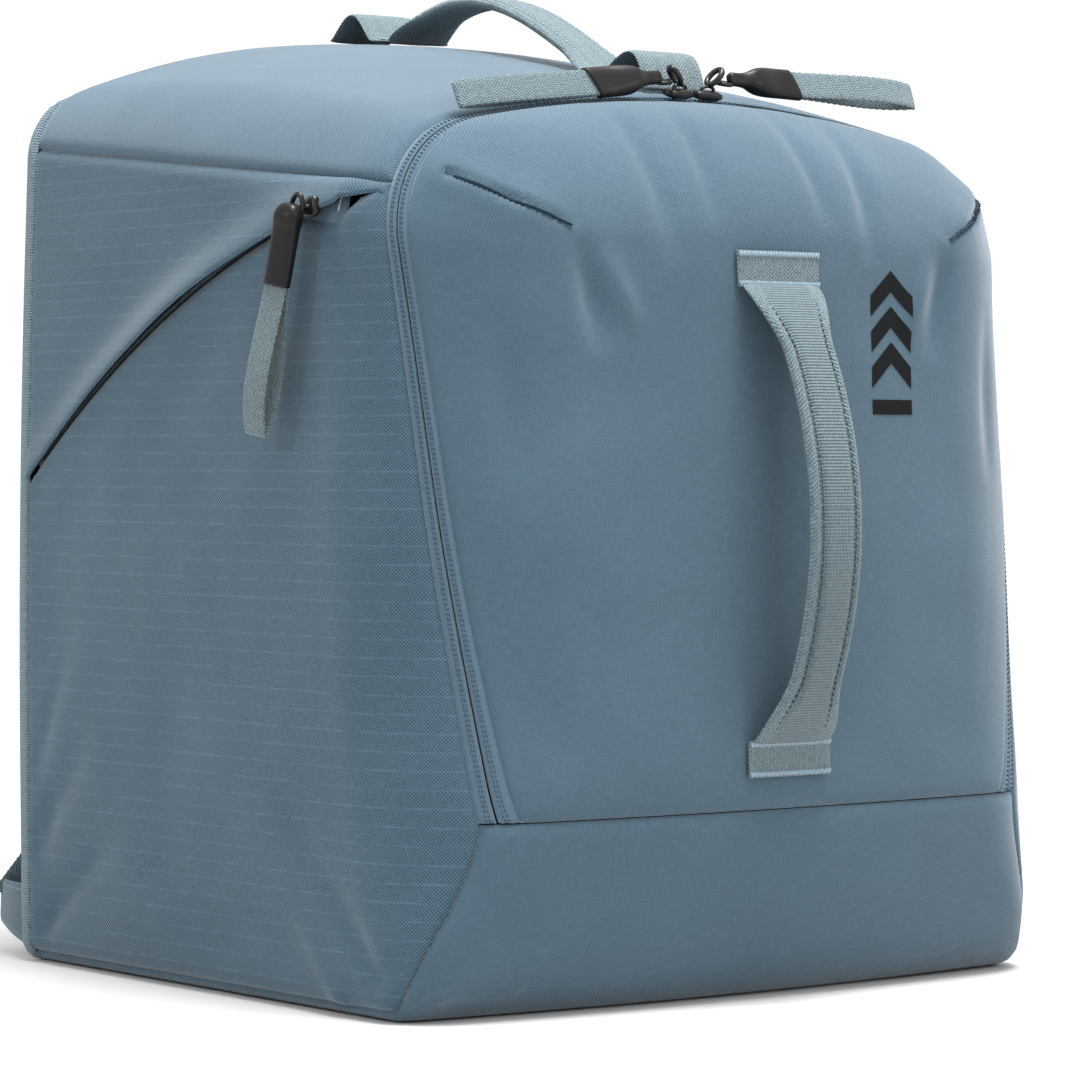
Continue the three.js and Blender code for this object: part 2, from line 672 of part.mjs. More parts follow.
// ---- zip sliders and pulls -----------------------------------------------------------------------
// A flat closed loop of webbing whose two runs lie LOOP_GAP apart, along a line of points.
function webbingLoop(line, out, across, width) {
  const half = (LOOP_GAP + LOOP_THICK) / 2;
  const there = line.map((p, i) => p.clone().addScaledVector(out[i], half));
  const back = line.map((p, i) => p.clone().addScaledVector(out[i], -half)).reverse();
  const last = line.length - 1;
  const end = line[last].clone().addScaledVector(line[last].clone().sub(line[last - 1]).normalize(), half);
  const start = line[0].clone().addScaledVector(line[0].clone().sub(line[1]).normalize(), half);
  return band([...there, end, ...back, start], across, width, LOOP_THICK, true);
}

// A moulded piece: an outline drawn along and across, given a thickness and softened edges.
function moulded(centre, along, across, outline, thick, soft) {
  const geometry = new THREE.ExtrudeGeometry(outline, {
    depth: thick - 2 * soft,
    bevelThickness: soft,
    bevelSize: soft,
    bevelOffset: -soft,
    bevelSegments: 1,
    curveSegments: 4,
  });
  geometry.translate(0, 0, soft - thick / 2);
  const x = along.clone().normalize();
  const y = across.clone().addScaledVector(x, -across.dot(x)).normalize();
  const basis = new THREE.Matrix4().makeBasis(x, y, new THREE.Vector3().crossVectors(x, y));
  geometry.applyMatrix4(basis.setPosition(centre));
  return geometry;
}

// Outlines start at their left end and are centred on the origin.
function roundedBar(length, startWidth, endWidth, radius) {
  const l = length / 2;
  const [a, b] = [startWidth / 2, endWidth / 2];
  const shape = new THREE.Shape();
  shape.moveTo(-l + radius, -a);
  shape.lineTo(l - radius, -b);
  shape.quadraticCurveTo(l, -b, l, -b + radius);
  shape.lineTo(l, b - radius);
  shape.quadraticCurveTo(l, b, l - radius, b);
  shape.lineTo(-l + radius, a);
  shape.quadraticCurveTo(-l, a, -l, a - radius);
  shape.lineTo(-l, -a + radius);
  shape.quadraticCurveTo(-l, -a, -l + radius, -a);
  return shape;
}

function ring(length, width, wire, radius) {
  const shape = roundedBar(length, width, width, radius);
  shape.holes.push(roundedBar(length - 2 * wire, width - 2 * wire, width - 2 * wire, radius / 2));
  return shape;
}

const sliderShape = () => roundedBar(SLIDER_LENGTH, SLIDER_WIDTH, SLIDER_WIDTH * SLIDER_NOSE, SLIDER_CORNER);
const linkShape = () => ring(LINK_LENGTH, LINK_WIDTH, LINK_WIRE, LINK_CORNER);
const pullShape = (length) => roundedBar(length, PULL_WIDTH * PULL_NECK, PULL_WIDTH, PULL_CORNER);

// The main sliders stand nose to nose on the zip's top run. Each pull lies outwards from its slider, in a
// straight line just off the fabric.
function addMainSlider(side, name) {
  const onZip = (x, lift) => {
    const z = onTop(x, zipY(0, TOP_FRONT_Z)).z;
    return onTop(x, zipY(0, z), lift);
  };
  const x0 = (side * SLIDER_SPACING) / 2;
  const foot = onZip(x0, 0);
  const out = formNormal(foot);
  const level = onZip(x0 + side, 0).sub(foot);
  const across = new THREE.Vector3().crossVectors(level, out).normalize();
  const mid = foot.clone().addScaledVector(out, CLEAR + SLIDER_HEIGHT / 2);
  add(`${name}_slider`, moulded(mid, level, across, sliderShape(), SLIDER_HEIGHT, SLIDER_SOFT), MOULDED);

  const droop = side < 0 ? LEFT_DROOP : RIGHT_DROOP;
  const along = new THREE.Vector3(side, 0, 0).addScaledVector(out, -droop).normalize();
  const root = foot.clone().addScaledVector(out, SLIDER_HEIGHT + PULL_THICK / 2 + CLEAR);
  const at = (distance) => root.clone().addScaledVector(along, distance);
  addPull(name, at, along, across, out, PULL_LENGTH, LOOP_LENGTH);
}

// A pull: a ring through the slider's bail, a moulded grip and a loop of webbing.
function addPull(name, at, along, across, out, pullLength, loopLength) {
  const link = moulded(at(LINK_LENGTH / 2), along, across, linkShape(), LINK_THICK, LINK_SOFT);
  add(`${name}_link`, link, MOULDED);
  const grip = at(LINK_LENGTH + CLEAR + pullLength / 2);
  add(`${name}_pull`, moulded(grip, along, across, pullShape(pullLength), PULL_THICK, PULL_SOFT), MOULDED);
  const loopStart = LINK_LENGTH + pullLength + LOOP_GAP + 2 * CLEAR;
  const line = steps(3, (t) => at(loopStart + loopLength * t));
  add(`${name}_pull_loop`, webbingLoop(line, line.map(() => out), across, LOOP_WIDTH), WEBBING);
}

// A pocket slider stands in the front end of its slot, with its pull hanging down the side panel.
function addPocketSlider(side, name) {
  const arc = pocketArc();
  const [y, z] = pocketPoint(arc, POCKET_SLIDER_AT, POCKET_RADIUS);
  const [nextY, nextZ] = pocketPoint(arc, 2 * POCKET_SLIDER_AT, POCKET_RADIUS);
  const along = new THREE.Vector3(0, nextY - y, nextZ - z).normalize();
  const outward = new THREE.Vector3(side, 0, 0);
  const face = onSide(side, y, z).addScaledVector(outward, POCKET_CLEAR + SLIDER_HEIGHT / 2);
  const across = new THREE.Vector3().crossVectors(outward, along);
  const slider = moulded(face, along, across, sliderShape(), SLIDER_HEIGHT, SLIDER_SOFT);
  add(`${name}_pocket_slider`, slider, MOULDED);

  const lean = THREE.MathUtils.degToRad(SIDE_PULL_LEAN);
  const down = new THREE.Vector3(side * SIDE_PULL_FLARE, Math.sin(lean), -Math.cos(lean)).normalize();
  const level = new THREE.Vector3().crossVectors(down, outward).normalize();
  const root = face.clone().addScaledVector(outward, (SLIDER_HEIGHT + PULL_THICK) / 2 + CLEAR);
  const at = (distance) => root.clone().addScaledVector(down, distance - LINK_LAP);
  addPull(`${name}_pocket`, at, down, level, outward, SIDE_PULL_LENGTH, SIDE_LOOP_LENGTH);
}

// ---- harness -------------------------------------------------------------------------------------
const PAD_FACE_Y = BACK_DEPTH + CLEAR + PAD_THICK; // what the straps lie over
const STRAP_TOP_Y = PAD_FACE_Y + STRAP_THICK / 2 + STRAP_REST;

const strapX = (t) => through([[0, STRAP_TOP_X], [0.5, STRAP_MID_X], [1, STRAP_END_X]], t);

function strapLine(side) {
  const topZEdge = HEIGHT - STRAP_TOP_DROP - YOKE_HEIGHT / 2;
  return steps(14, (t) => {
    const y = STRAP_TOP_Y + STRAP_BOW * Math.sin(Math.PI * t);
    return new THREE.Vector3(side * strapX(t), y, lerp(topZEdge, STRAP_END_Z, t));
  });
}

function box(centre, size) {
  const geometry = new THREE.BoxGeometry(...size);
  geometry.translate(...centre);
  return geometry;
}

function addBackPads() {
  const height = HEIGHT - PAD_TOP_DROP - PAD_BOTTOM_Z;
  const y = BACK_DEPTH + CLEAR + PAD_THICK / 2;
  for (const [side, name] of [[-1, "left"], [1, "right"]]) {
    const centre = [(side * PAD_SPACING) / 2, y, PAD_BOTTOM_Z + height / 2];
    add(`${name}_back_pad`, box(centre, [PAD_WIDTH, PAD_THICK, height]), MESH_CLOTH);
  }
  const yokeZ = HEIGHT - STRAP_TOP_DROP;
  const yokeY = BACK_DEPTH + CLEAR + YOKE_THICK / 2;
  add("harness_yoke", box([0, yokeY, yokeZ + CLEAR], [YOKE_WIDTH, YOKE_THICK, YOKE_HEIGHT]), FABRIC);
}

function addStrap(side, name) {
  const line = strapLine(side);
  const widths = line.map((_, i) => lerp(STRAP_WIDTH, STRAP_WIDTH * STRAP_TAPER, i / (line.length - 1)));
  add(`${name}_shoulder_strap`, band(line, X_AXIS, widths, STRAP_THICK), MESH_CLOTH);
  const end = line[line.length - 1];
  const lockZ = end.z - LOCK_HEIGHT / 2 - LOCK_GAP;
  const lockCentre = new THREE.Vector3(end.x, end.y, lockZ);
  const lock = ring(LOCK_HEIGHT, LOCK_WIDTH, LOCK_BAR, LOCK_BAR / 2);
  const down = new THREE.Vector3(0, 0, -1);
  add(`${name}_ladder_lock`, moulded(lockCentre, down, X_AXIS, lock, LOCK_THICK, LOCK_SOFT), MOULDED);

  // The wing is a folded tab sewn into the corner seam, and the adjusting web runs from it to the lock.
  const rootX = side * (halfWidth(0) - CORNER_BACK);
  const root = new THREE.Vector3(rootX, BACK_DEPTH + CLEAR + WING_THICK / 2, WING_FOOT_Z + WING_HEIGHT / 2);
  const tip = root.clone().add(new THREE.Vector3(-side * WING_LEAN, WING_REACH, WING_RISE));
  const rise = new THREE.Vector3(0, 0, 1);
  const wingHeights = [WING_HEIGHT, LOWER_WEB_WIDTH + WING_TIP_SPARE];
  add(`${name}_strap_wing`, band([root, tip], rise, wingHeights, WING_THICK), FABRIC);
  const webEnd = new THREE.Vector3(end.x, end.y, lockZ - LOCK_HEIGHT / 2 - LOCK_GAP);
  const [inward, backward, upward] = WEB_START;
  const webStart = tip.clone().add(new THREE.Vector3(side * inward, backward, upward));
  const web = steps(WEB_STEPS, (t) => {
    const p = webStart.clone().lerp(webEnd, t);
    p.y += WEB_SLACK * Math.sin(Math.PI * t);
    return p;
  });
  const flat = X_AXIS.clone().multiplyScalar(side);
  const across = web.map((_, i) => rise.clone().lerp(flat, clamp01((i / WEB_STEPS) * WEB_TWIST)));
  add(`${name}_lower_web`, band(web, across, LOWER_WEB_WIDTH, WEB), WEBBING);

  // Half of the sternum strap hangs from the shoulder strap, unclipped.
  // It lies off the strap where the strap stands out furthest behind it.
  const pivotZ = HEIGHT - STERNUM_DROP;
  const along = (z) => (line[0].z - z) / (line[0].z - STRAP_END_Z);
  const pivotX = side * strapX(along(pivotZ));
  const fullest = Math.min(along(pivotZ - STERNUM_WEB), Math.max(along(pivotZ), 1 / 2));
  const bow = STRAP_BOW * Math.sin(Math.PI * fullest);
  const faceY = STRAP_TOP_Y + bow + STRAP_THICK / 2 + CLEAR + STERNUM_REST;
  const webCentre = [pivotX, faceY + WEB / 2, pivotZ - STERNUM_WEB / 2];
  add(`${name}_sternum_web`, box(webCentre, [LOWER_WEB_WIDTH, WEB, STERNUM_WEB]), WEBBING);
  const buckleZ = pivotZ - STERNUM_WEB - CLEAR - BUCKLE_LENGTH / 2;
  const buckleY = faceY + BUCKLE_THICK / 2;
  if (side < 0) {
    const socket = box([pivotX, buckleY, buckleZ], [BUCKLE_WIDTH, BUCKLE_THICK, BUCKLE_LENGTH]);
    add("sternum_buckle_socket", socket, MOULDED);
  } else {
    const tabZ = buckleZ + (BUCKLE_LENGTH - TAB_LENGTH) / 2;
    const tab = solidOf(box([pivotX, buckleY, tabZ], [BUCKLE_WIDTH, BUCKLE_THICK, TAB_LENGTH]));
    const prongZ = buckleZ + PRONG_SEAT - PRONG_LENGTH / 2;
    const prongs = [-1, 0, 1].map((k) =>
      solidOf(box([pivotX + k * PRONG_PITCH, buckleY, prongZ], [PRONG, BUCKLE_THICK - PRONG, PRONG_LENGTH])),
    );
    add("sternum_buckle_prongs", geometryOf(prongs.reduce((all, p) => all.add(p), tab)), MOULDED);
  }
}

addPanels();
addFrontHandle();
addHaulHandle();
for (const [side, name] of [[-1, "left"], [1, "right"]]) {
  addMainSlider(side, name);
  addPocketSlider(side, name);
}
addBackPads();
for (const [side, name] of [[-1, "left"], [1, "right"]]) {
  addStrap(side, name);
}

export default bag;
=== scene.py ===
import math

import bpy
import numpy as np
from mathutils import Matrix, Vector, noise
from mathutils.bvhtree import BVHTree


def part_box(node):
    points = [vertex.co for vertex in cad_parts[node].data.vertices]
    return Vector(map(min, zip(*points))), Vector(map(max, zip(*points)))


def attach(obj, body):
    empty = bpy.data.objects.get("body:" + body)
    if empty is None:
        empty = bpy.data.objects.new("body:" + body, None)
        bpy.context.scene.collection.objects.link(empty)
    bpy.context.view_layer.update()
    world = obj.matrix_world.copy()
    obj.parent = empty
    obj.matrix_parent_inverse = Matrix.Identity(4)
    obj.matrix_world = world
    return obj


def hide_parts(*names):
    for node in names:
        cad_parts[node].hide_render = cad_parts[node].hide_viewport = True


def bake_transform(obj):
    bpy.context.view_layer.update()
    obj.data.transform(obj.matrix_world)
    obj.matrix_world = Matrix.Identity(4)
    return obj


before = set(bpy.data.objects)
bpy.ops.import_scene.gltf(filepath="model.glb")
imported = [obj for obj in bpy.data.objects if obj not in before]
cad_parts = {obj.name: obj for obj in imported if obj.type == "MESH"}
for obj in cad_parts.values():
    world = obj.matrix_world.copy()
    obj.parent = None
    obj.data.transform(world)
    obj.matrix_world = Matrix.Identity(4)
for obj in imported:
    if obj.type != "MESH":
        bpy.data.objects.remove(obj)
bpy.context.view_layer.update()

scene = bpy.context.scene

# ---- the studio --------------------------------------------------------------------------------------
# A pale floor under soft light: a broad lamp overhead, and a small one each at the right front and the
# left side, so that straps cast a shadow on the panel under them. The camera stands low, a little above
# the bag's middle, and looks at its left front corner.
MM = 0.001
CAMERA_TURN = math.radians(37.21)
CAMERA_RISE = math.radians(1.22)
CAMERA_RANGE = 2.1904
CAMERA_AIM = Vector((0, 0, 0.210))

camera = bpy.data.objects.new("camera", bpy.data.cameras.new("camera"))
scene.collection.objects.link(camera)
camera.data.lens = 145.2
camera.data.shift_x = 0.0107
camera.data.shift_y = 0.0045
back_to_camera = Vector((
    -math.sin(CAMERA_TURN) * math.cos(CAMERA_RISE),
    -math.cos(CAMERA_TURN) * math.cos(CAMERA_RISE),
    math.sin(CAMERA_RISE),
))
camera.location = CAMERA_AIM + back_to_camera * CAMERA_RANGE
camera.rotation_euler = (-back_to_camera).to_track_quat("-Z", "Y").to_euler()
camera.data.clip_end = 100
scene.camera = camera
scene.view_settings.view_transform = "Standard"


def lamp(name, place, aim, size, watts):
    data = bpy.data.lights.new(name, "AREA")
    data.shape = "DISK"
    data.size = size
    data.energy = watts
    thing = bpy.data.objects.new(name, data)
    scene.collection.objects.link(thing)
    thing.location = place
    thing.rotation_euler = (Vector(aim) - Vector(place)).to_track_quat("-Z", "Y").to_euler()


lamp("overhead", (0.0, -0.45, 2.2), (0, 0, 0.2), 1.1, 90)
lamp("right_front", (1.0, -2.3, 1.2), (0, 0, 0.25), 0.4, 9)
lamp("left_side", (-2.4, -0.1, 1.3), (0, 0, 0.2), 0.5, 11)

world = bpy.data.worlds.new("room")
world.use_nodes = True
world.node_tree.nodes["Background"].inputs["Color"].default_value = (1, 1, 1, 1)
world.node_tree.nodes["Background"].inputs["Strength"].default_value = 1.05
scene.world = world


def node_of(tree, kind, **settings):
    made = tree.nodes.new(kind)
    for key, value in settings.items():
        setattr(made, key, value)
    return made


def blank_material(name, roughness, specular=0.5):
    material = bpy.data.materials.new(name)
    material.use_nodes = True
    shader = material.node_tree.nodes["Principled BSDF"]
    shader.inputs["Roughness"].default_value = roughness
    shader.inputs["Specular IOR Level"].default_value = specular
    return material, material.node_tree, shader


def colour_of(red, green, blue):
    """A colour given as it looks, from 0 to 255, as the shader wants it."""
    return (*[((c / 255 + 0.055) / 1.055) ** 2.4 for c in (red, green, blue)], 1)


def mesh_object(name, points, faces, materials, uv=None, smooth=True):
    if name in bpy.data.objects:
        name += "_finished"
    mesh = bpy.data.meshes.new(name)
    mesh.from_pydata([tuple(p) for p in points], [], faces)
    for material in materials:
        mesh.materials.append(material)
    if uv is not None:
        layer = mesh.uv_layers.new(name="cloth")
        corner = np.array([loop.vertex_index for loop in mesh.loops])
        layer.data.foreach_set("uv", np.asarray(uv, np.float32)[corner].ravel())
    if smooth:
        mesh.shade_smooth()
    thing = bpy.data.objects.new(name, mesh)
    scene.collection.objects.link(thing)
    return thing


def applied(thing):
    """The same object with its modifiers made part of its mesh."""
    shown = thing.evaluated_get(bpy.context.evaluated_depsgraph_get())
    mesh = bpy.data.meshes.new_from_object(shown)
    thing.modifiers.clear()
    thing.data = mesh
    return thing


FLOOR_HALF = 1.35
floor_material, _, floor_shader = blank_material("studio_floor", 0.9, 0.1)
floor_shader.inputs["Base Color"].default_value = (0.62, 0.62, 0.62, 1)
floor = mesh_object(
    "studio_floor",
    [(x * FLOOR_HALF, y * FLOOR_HALF, -0.0005) for x, y in ((-1, -1), (1, -1), (1, 1), (-1, 1))],
    [(0, 1, 2, 3)],
    [floor_material],
)

# ---- the pattern block -------------------------------------------------------------------------------
# The bag is sewn over one block: a box with rounded edges, deepest near the foot. Every panel is a piece
# of it between seams. Its sizes are those of the cut pieces, so the walls land on the CAD's own.
WIDTH = 0.390
HEIGHT = 0.472
BACK_Y = 0.166
FRONT_DEPTH = 0.205
WALL = 4 * MM
SIDE_TAPER = 7 * MM
SIDE_BULGE = 4 * MM
FRONT_BOW = 14 * MM
TOP_MID_DROP = 17 * MM
TOP_FRONT_DROP = 47 * MM
CROWN_FRONT = 0.70
CROWN_BACK = 1.12
ZIP_FOOT_Y = -0.190
ZIP_FOOT_Z = 0.090
ZIP_TOP_Y = -0.134
CORNER_BACK = 10 * MM
TOP_EDGE = (26 * MM, 52 * MM)
FLOOR_EDGE = 12 * MM
FRONT_PROFILE = [(0, 0.176), (0.040, 0.195), (0.110, 0.205), (0.350, 0.196), (0.472, 0.189)]
CORNER_PROFILE = [(0, 0.014), (0.090, 0.064), (0.236, 0.078), (0.350, 0.078), (0.472, 0.058)]


def through(knots, at):
    """A smooth curve through pairs of place and value."""
    xs, ys = np.array(knots, float).T
    slopes = np.array([
        (ys[min(i + 1, len(xs) - 1)] - ys[max(i - 1, 0)])
        / (xs[min(i + 1, len(xs) - 1)] - xs[max(i - 1, 0)])
        for i in range(len(xs))
    ])
    at = np.clip(at, xs[0], xs[-1])
    i = np.clip(np.searchsorted(xs, at, side="right") - 1, 0, len(xs) - 2)
    h = xs[i + 1] - xs[i]
    s = (at - xs[i]) / h
    return (
        (2 * s**3 - 3 * s**2 + 1) * ys[i] + (s**3 - 2 * s**2 + s) * h * slopes[i]
        + (3 * s**2 - 2 * s**3) * ys[i + 1] + (s**3 - s**2) * h * slopes[i + 1]
    )


def rounded(a, b, radius):
    outside = np.hypot(np.maximum(a + radius, 0), np.maximum(b + radius, 0))
    return np.minimum(np.maximum(a, b), -radius) + outside


def half_width(z):
    share = np.clip(z / HEIGHT, 0, 1)
    return WIDTH / 2 - SIDE_TAPER * z / HEIGHT + SIDE_BULGE * np.sin(np.pi * share)


def crown(y):
    back = TOP_MID_DROP / BACK_Y
    front = (TOP_MID_DROP - TOP_FRONT_DROP) / ZIP_TOP_Y
    curve = (back - front) / (BACK_Y - ZIP_TOP_Y)
    return HEIGHT - TOP_MID_DROP + (back - curve * BACK_Y) * y + curve * y * y


def block(p):
    """Below zero inside the block, zero on it."""
    across, y, z = np.abs(p[..., 0]), p[..., 1], p[..., 2]
    side = across - half_width(z)
    front = -y - (through(FRONT_PROFILE, z) - FRONT_BOW * (2 * across / WIDTH) ** 2)
    d = rounded(side, front, through(CORNER_PROFILE, z))
    d = rounded(d, y - BACK_Y, CORNER_BACK)
    forward = np.clip((BACK_Y - y) / (BACK_Y + FRONT_DEPTH), 0, 1)
    behind = np.clip((y + BACK_Y) / (2 * BACK_Y), 0, 1)
    roof = crown(y) - (CROWN_FRONT + (CROWN_BACK - CROWN_FRONT) * behind) * across**2
    d = rounded(d, z - roof, TOP_EDGE[0] + (TOP_EDGE[1] - TOP_EDGE[0]) * forward)
    return rounded(d, -z, FLOOR_EDGE)


def outward(p):
    step = 0.5 * MM
    slope = np.stack([block(p + e * step) - block(p - e * step) for e in np.eye(3)], -1)
    return slope / np.linalg.norm(slope, axis=-1, keepdims=True)


HUB = np.array([0, (BACK_Y - FRONT_DEPTH) / 2, HEIGHT / 2])


def cast(start, toward):
    """Where rays from inside the block meet it."""
    start, toward = np.broadcast_arrays(np.asarray(start, float), np.asarray(toward, float))
    toward = toward / np.linalg.norm(toward, axis=-1, keepdims=True)
    near = np.zeros(toward.shape[:-1])
    far = np.full(toward.shape[:-1], 0.7)
    for _ in range(34):
        mid = (near + far) / 2
        outside = block(start + toward * mid[..., None]) > 0
        far = np.where(outside, mid, far)
        near = np.where(outside, near, mid)
    return start + toward * near[..., None]


def on_front(x, z):
    x, z = np.broadcast_arrays(np.asarray(x, float), np.asarray(z, float))
    return cast(np.stack([x, np.full_like(x, HUB[1]), z], -1), (0, -1, 0))


def on_top(x, y):
    x, y = np.broadcast_arrays(np.asarray(x, float), np.asarray(y, float))
    return cast(np.stack([x, y, np.full_like(x, HUB[2])], -1), (0, 0, 1))


def on_side(side, y, z):
    y, z = np.broadcast_arrays(np.asarray(y, float), np.asarray(z, float))
    return cast(np.stack([np.zeros_like(y), y, z], -1), (side, 0, 0))


def lengths(path):
    return np.concatenate([[0], np.cumsum(np.linalg.norm(np.diff(path, axis=0), axis=1))])


def at_shares(path, shares):
    """Points at these shares of a path's length."""
    run = lengths(path)
    return np.stack([np.interp(np.asarray(shares) * run[-1], run, path[:, k]) for k in range(3)], -1)


def slice_of(centre, across, up, first, last, count=361):
    """The block's outline in the plane through a point, from one angle to another, clockwise from up."""
    angle = np.linspace(first, last, count)[:, None]
    return cast(centre, np.sin(angle) * np.array(across) + np.cos(angle) * np.array(up))


EDGE_ROWS = np.array([0, 0.6, 1.3, 2.2, 3.4, 5.0, 7.2]) * MM


def spaced(length, step):
    """Shares of a length, close together at both ends where the seams are."""
    count = max(2, round((length - 2 * EDGE_ROWS[-1]) / step))
    middle = np.linspace(EDGE_ROWS[-1], length - EDGE_ROWS[-1], count + 1)[1:-1]
    return np.concatenate([EDGE_ROWS, middle, length - EDGE_ROWS[::-1]]) / length


def spread(low, high, left, right, step):
    """A grid of points on the block between four edges, each a path; columns run from low to high."""
    us = spaced(max(lengths(low)[-1], lengths(high)[-1]), step)
    vs = spaced(max(lengths(left)[-1], lengths(right)[-1]), step)
    low, high = at_shares(low, us), at_shares(high, us)
    left, right = at_shares(left, vs), at_shares(right, vs)
    u, v = us[None, :, None], vs[:, None, None]
    corners = (
        (1 - u) * (1 - v) * left[0] + u * (1 - v) * right[0] + (1 - u) * v * left[-1] + u * v * right[-1]
    )
    flat = (1 - v) * low[None] + v * high[None] + (1 - u) * left[:, None] + u * right[:, None] - corners
    found = cast(HUB, flat - HUB)
    found[0], found[-1], found[:, 0], found[:, -1] = low, high, left, right
    return found


def from_edges(grid):
    """How far each point of a grid lies from its low, high, left and right edges."""
    down = np.concatenate([
        np.zeros((1, grid.shape[1])), np.cumsum(np.linalg.norm(np.diff(grid, axis=0), axis=2), axis=0)
    ])
    over = np.concatenate([
        np.zeros((grid.shape[0], 1)), np.cumsum(np.linalg.norm(np.diff(grid, axis=1), axis=2), axis=1)
    ], axis=1)
    return down, down[-1:] - down, over, over[:, -1:] - over


def near_path(points, path):
    """Distance of points from a path, and the share of the path at the nearest place."""
    best = np.full(points.shape[:-1], 9.0)
    share = np.zeros(points.shape[:-1])
    for i in range(len(path) - 1):
        step = path[i + 1] - path[i]
        t = np.clip(((points - path[i]) @ step) / (step @ step), 0, 1)
        gap = np.linalg.norm(points - path[i] - t[..., None] * step, axis=-1)
        share = np.where(gap < best, (i + t) / (len(path) - 1), share)
        best = np.minimum(best, gap)
    return best, share


def crease(points, path, width, depth, fade=1.0):
    """A soft fold along a path, deepest at its start. A negative depth raises a ridge."""
    gap, share = near_path(points, path)
    strength = (1 - share) ** fade if fade > 0 else np.sin(np.pi * share)
    return -depth * np.exp(-((gap / width) ** 2)) * strength


def ripples(points, scale, height, seed):
    """A gentle unevenness, the same at every run."""
    shift = Vector((seed * 3.1, seed * 1.7, seed * 2.3))
    flat = points.reshape(-1, 3) / scale
    found = np.array([noise.noise(Vector(p) + shift) for p in flat])
    return found.reshape(points.shape[:-1]) * height


def wrapped(value, start, radius):
    """The distance along cloth that runs flat to start and then bends round an edge."""
    over = np.clip((value - start) / radius, 0, 1)
    return np.where(value > start, start + radius * np.arcsin(over), value)


def sheet_faces(rows, columns):
    index = np.arange(rows * columns).reshape(rows, columns)
    quads = np.stack([index[:-1, :-1], index[:-1, 1:], index[1:, 1:], index[1:, :-1]], -1)
    return quads.reshape(-1, 4)


def panel(name, grid, lift, uv, materials, thickness):
    """A sewn panel from a grid on the block, raised by lift, with its thickness on the inside."""
    normal = outward(grid)
    points = (grid + normal * lift[..., None]).reshape(-1, 3)
    rows, columns = grid.shape[:2]
    faces = sheet_faces(rows, columns)
    middle = grid[rows // 2, columns // 2]
    turn = np.cross(
        grid[rows // 2, columns // 2 + 1] - middle, grid[rows // 2 + 1, columns // 2] - middle
    )
    if turn @ normal[rows // 2, columns // 2] < 0:
        faces = faces[:, ::-1]
    thing = mesh_object(name, points, faces.tolist(), materials, uv.reshape(-1, 2))
    wall = thing.modifiers.new("wall", "SOLIDIFY")
    wall.thickness = thickness
    wall.offset = -1
    wall.use_even_offset = False
    wall.material_offset = 1
    return applied(thing)


def seam_dip(distance, depth, width):
    """How far a padded panel falls away to a seam at this distance."""
    return -depth * np.clip(1 - distance / width, 0, 1) ** 2.2


def eased(share):
    """From 0 to 1, with a soft start and a soft end."""
    share = np.clip(share, 0, 1)
    return share * share * (3 - 2 * share)


def faced_out(thing, centre=(0, 0, 0)):
    """The same closed object with its faces turned outward."""
    centre = Vector(centre)
    if sum((Vector(f.center) - centre).dot(f.normal) * f.area for f in thing.data.polygons) < 0:
        thing.data.flip_normals()
    return thing


# ---- cloth -------------------------------------------------------------------------------------------
# Polyester canvas in slate blue. Its threads show as fine dots, with a slub here and there, and
# the side cloth has thin pale rip lines across it. The inside is coated grey.


def sum_of(tree, operation, *values):
    """A math node fed with sockets or numbers."""
    made = node_of(tree, "ShaderNodeMath", operation=operation)
    for socket, value in zip(made.inputs, values):
        if isinstance(value, (int, float)):
            socket.default_value = value
        else:
            tree.links.new(value, socket)
    return made.outputs[0]


def cloth_axes(tree):
    """The cloth's own two directions, in metres."""
    place = node_of(tree, "ShaderNodeUVMap", uv_map="cloth")
    split = node_of(tree, "ShaderNodeSeparateXYZ")
    tree.links.new(place.outputs["UV"], split.inputs[0])
    return place.outputs["UV"], split.outputs[0], split.outputs[1]


def stretched_noise(tree, vector, scale, detail=2.0):
    """Noise drawn out along one or the other direction of the cloth."""
    turn = node_of(tree, "ShaderNodeMapping")
    turn.inputs["Scale"].default_value = (*scale, 1)
    tree.links.new(vector, turn.inputs["Vector"])
    grain = node_of(tree, "ShaderNodeTexNoise")
    grain.inputs["Scale"].default_value = 1
    grain.inputs["Detail"].default_value = detail
    tree.links.new(turn.outputs[0], grain.inputs["Vector"])
    return grain.outputs["Fac"]


def mixed(tree, share, first, second):
    """One colour or socket turning into another."""
    mix = node_of(tree, "ShaderNodeMix", data_type="RGBA")
    tree.links.new(share, mix.inputs["Factor"])
    for socket, value in ((mix.inputs[6], first), (mix.inputs[7], second)):
        if isinstance(value, tuple):
            socket.default_value = value
        else:
            tree.links.new(value, socket)
    return mix.outputs[2]


def ramped(tree, value, low, high):
    """A value stretched so that low gives 0 and high gives 1."""
    span = node_of(tree, "ShaderNodeMapRange")
    span.inputs["From Min"].default_value = low
    span.inputs["From Max"].default_value = high
    tree.links.new(value, span.inputs["Value"])
    return span.outputs[0]


def embossed(tree, shader, height, depth, strength=1.0):
    bump = node_of(tree, "ShaderNodeBump")
    bump.inputs["Distance"].default_value = depth
    bump.inputs["Strength"].default_value = strength
    tree.links.new(height, bump.inputs["Height"])
    tree.links.new(bump.outputs[0], shader.inputs["Normal"])


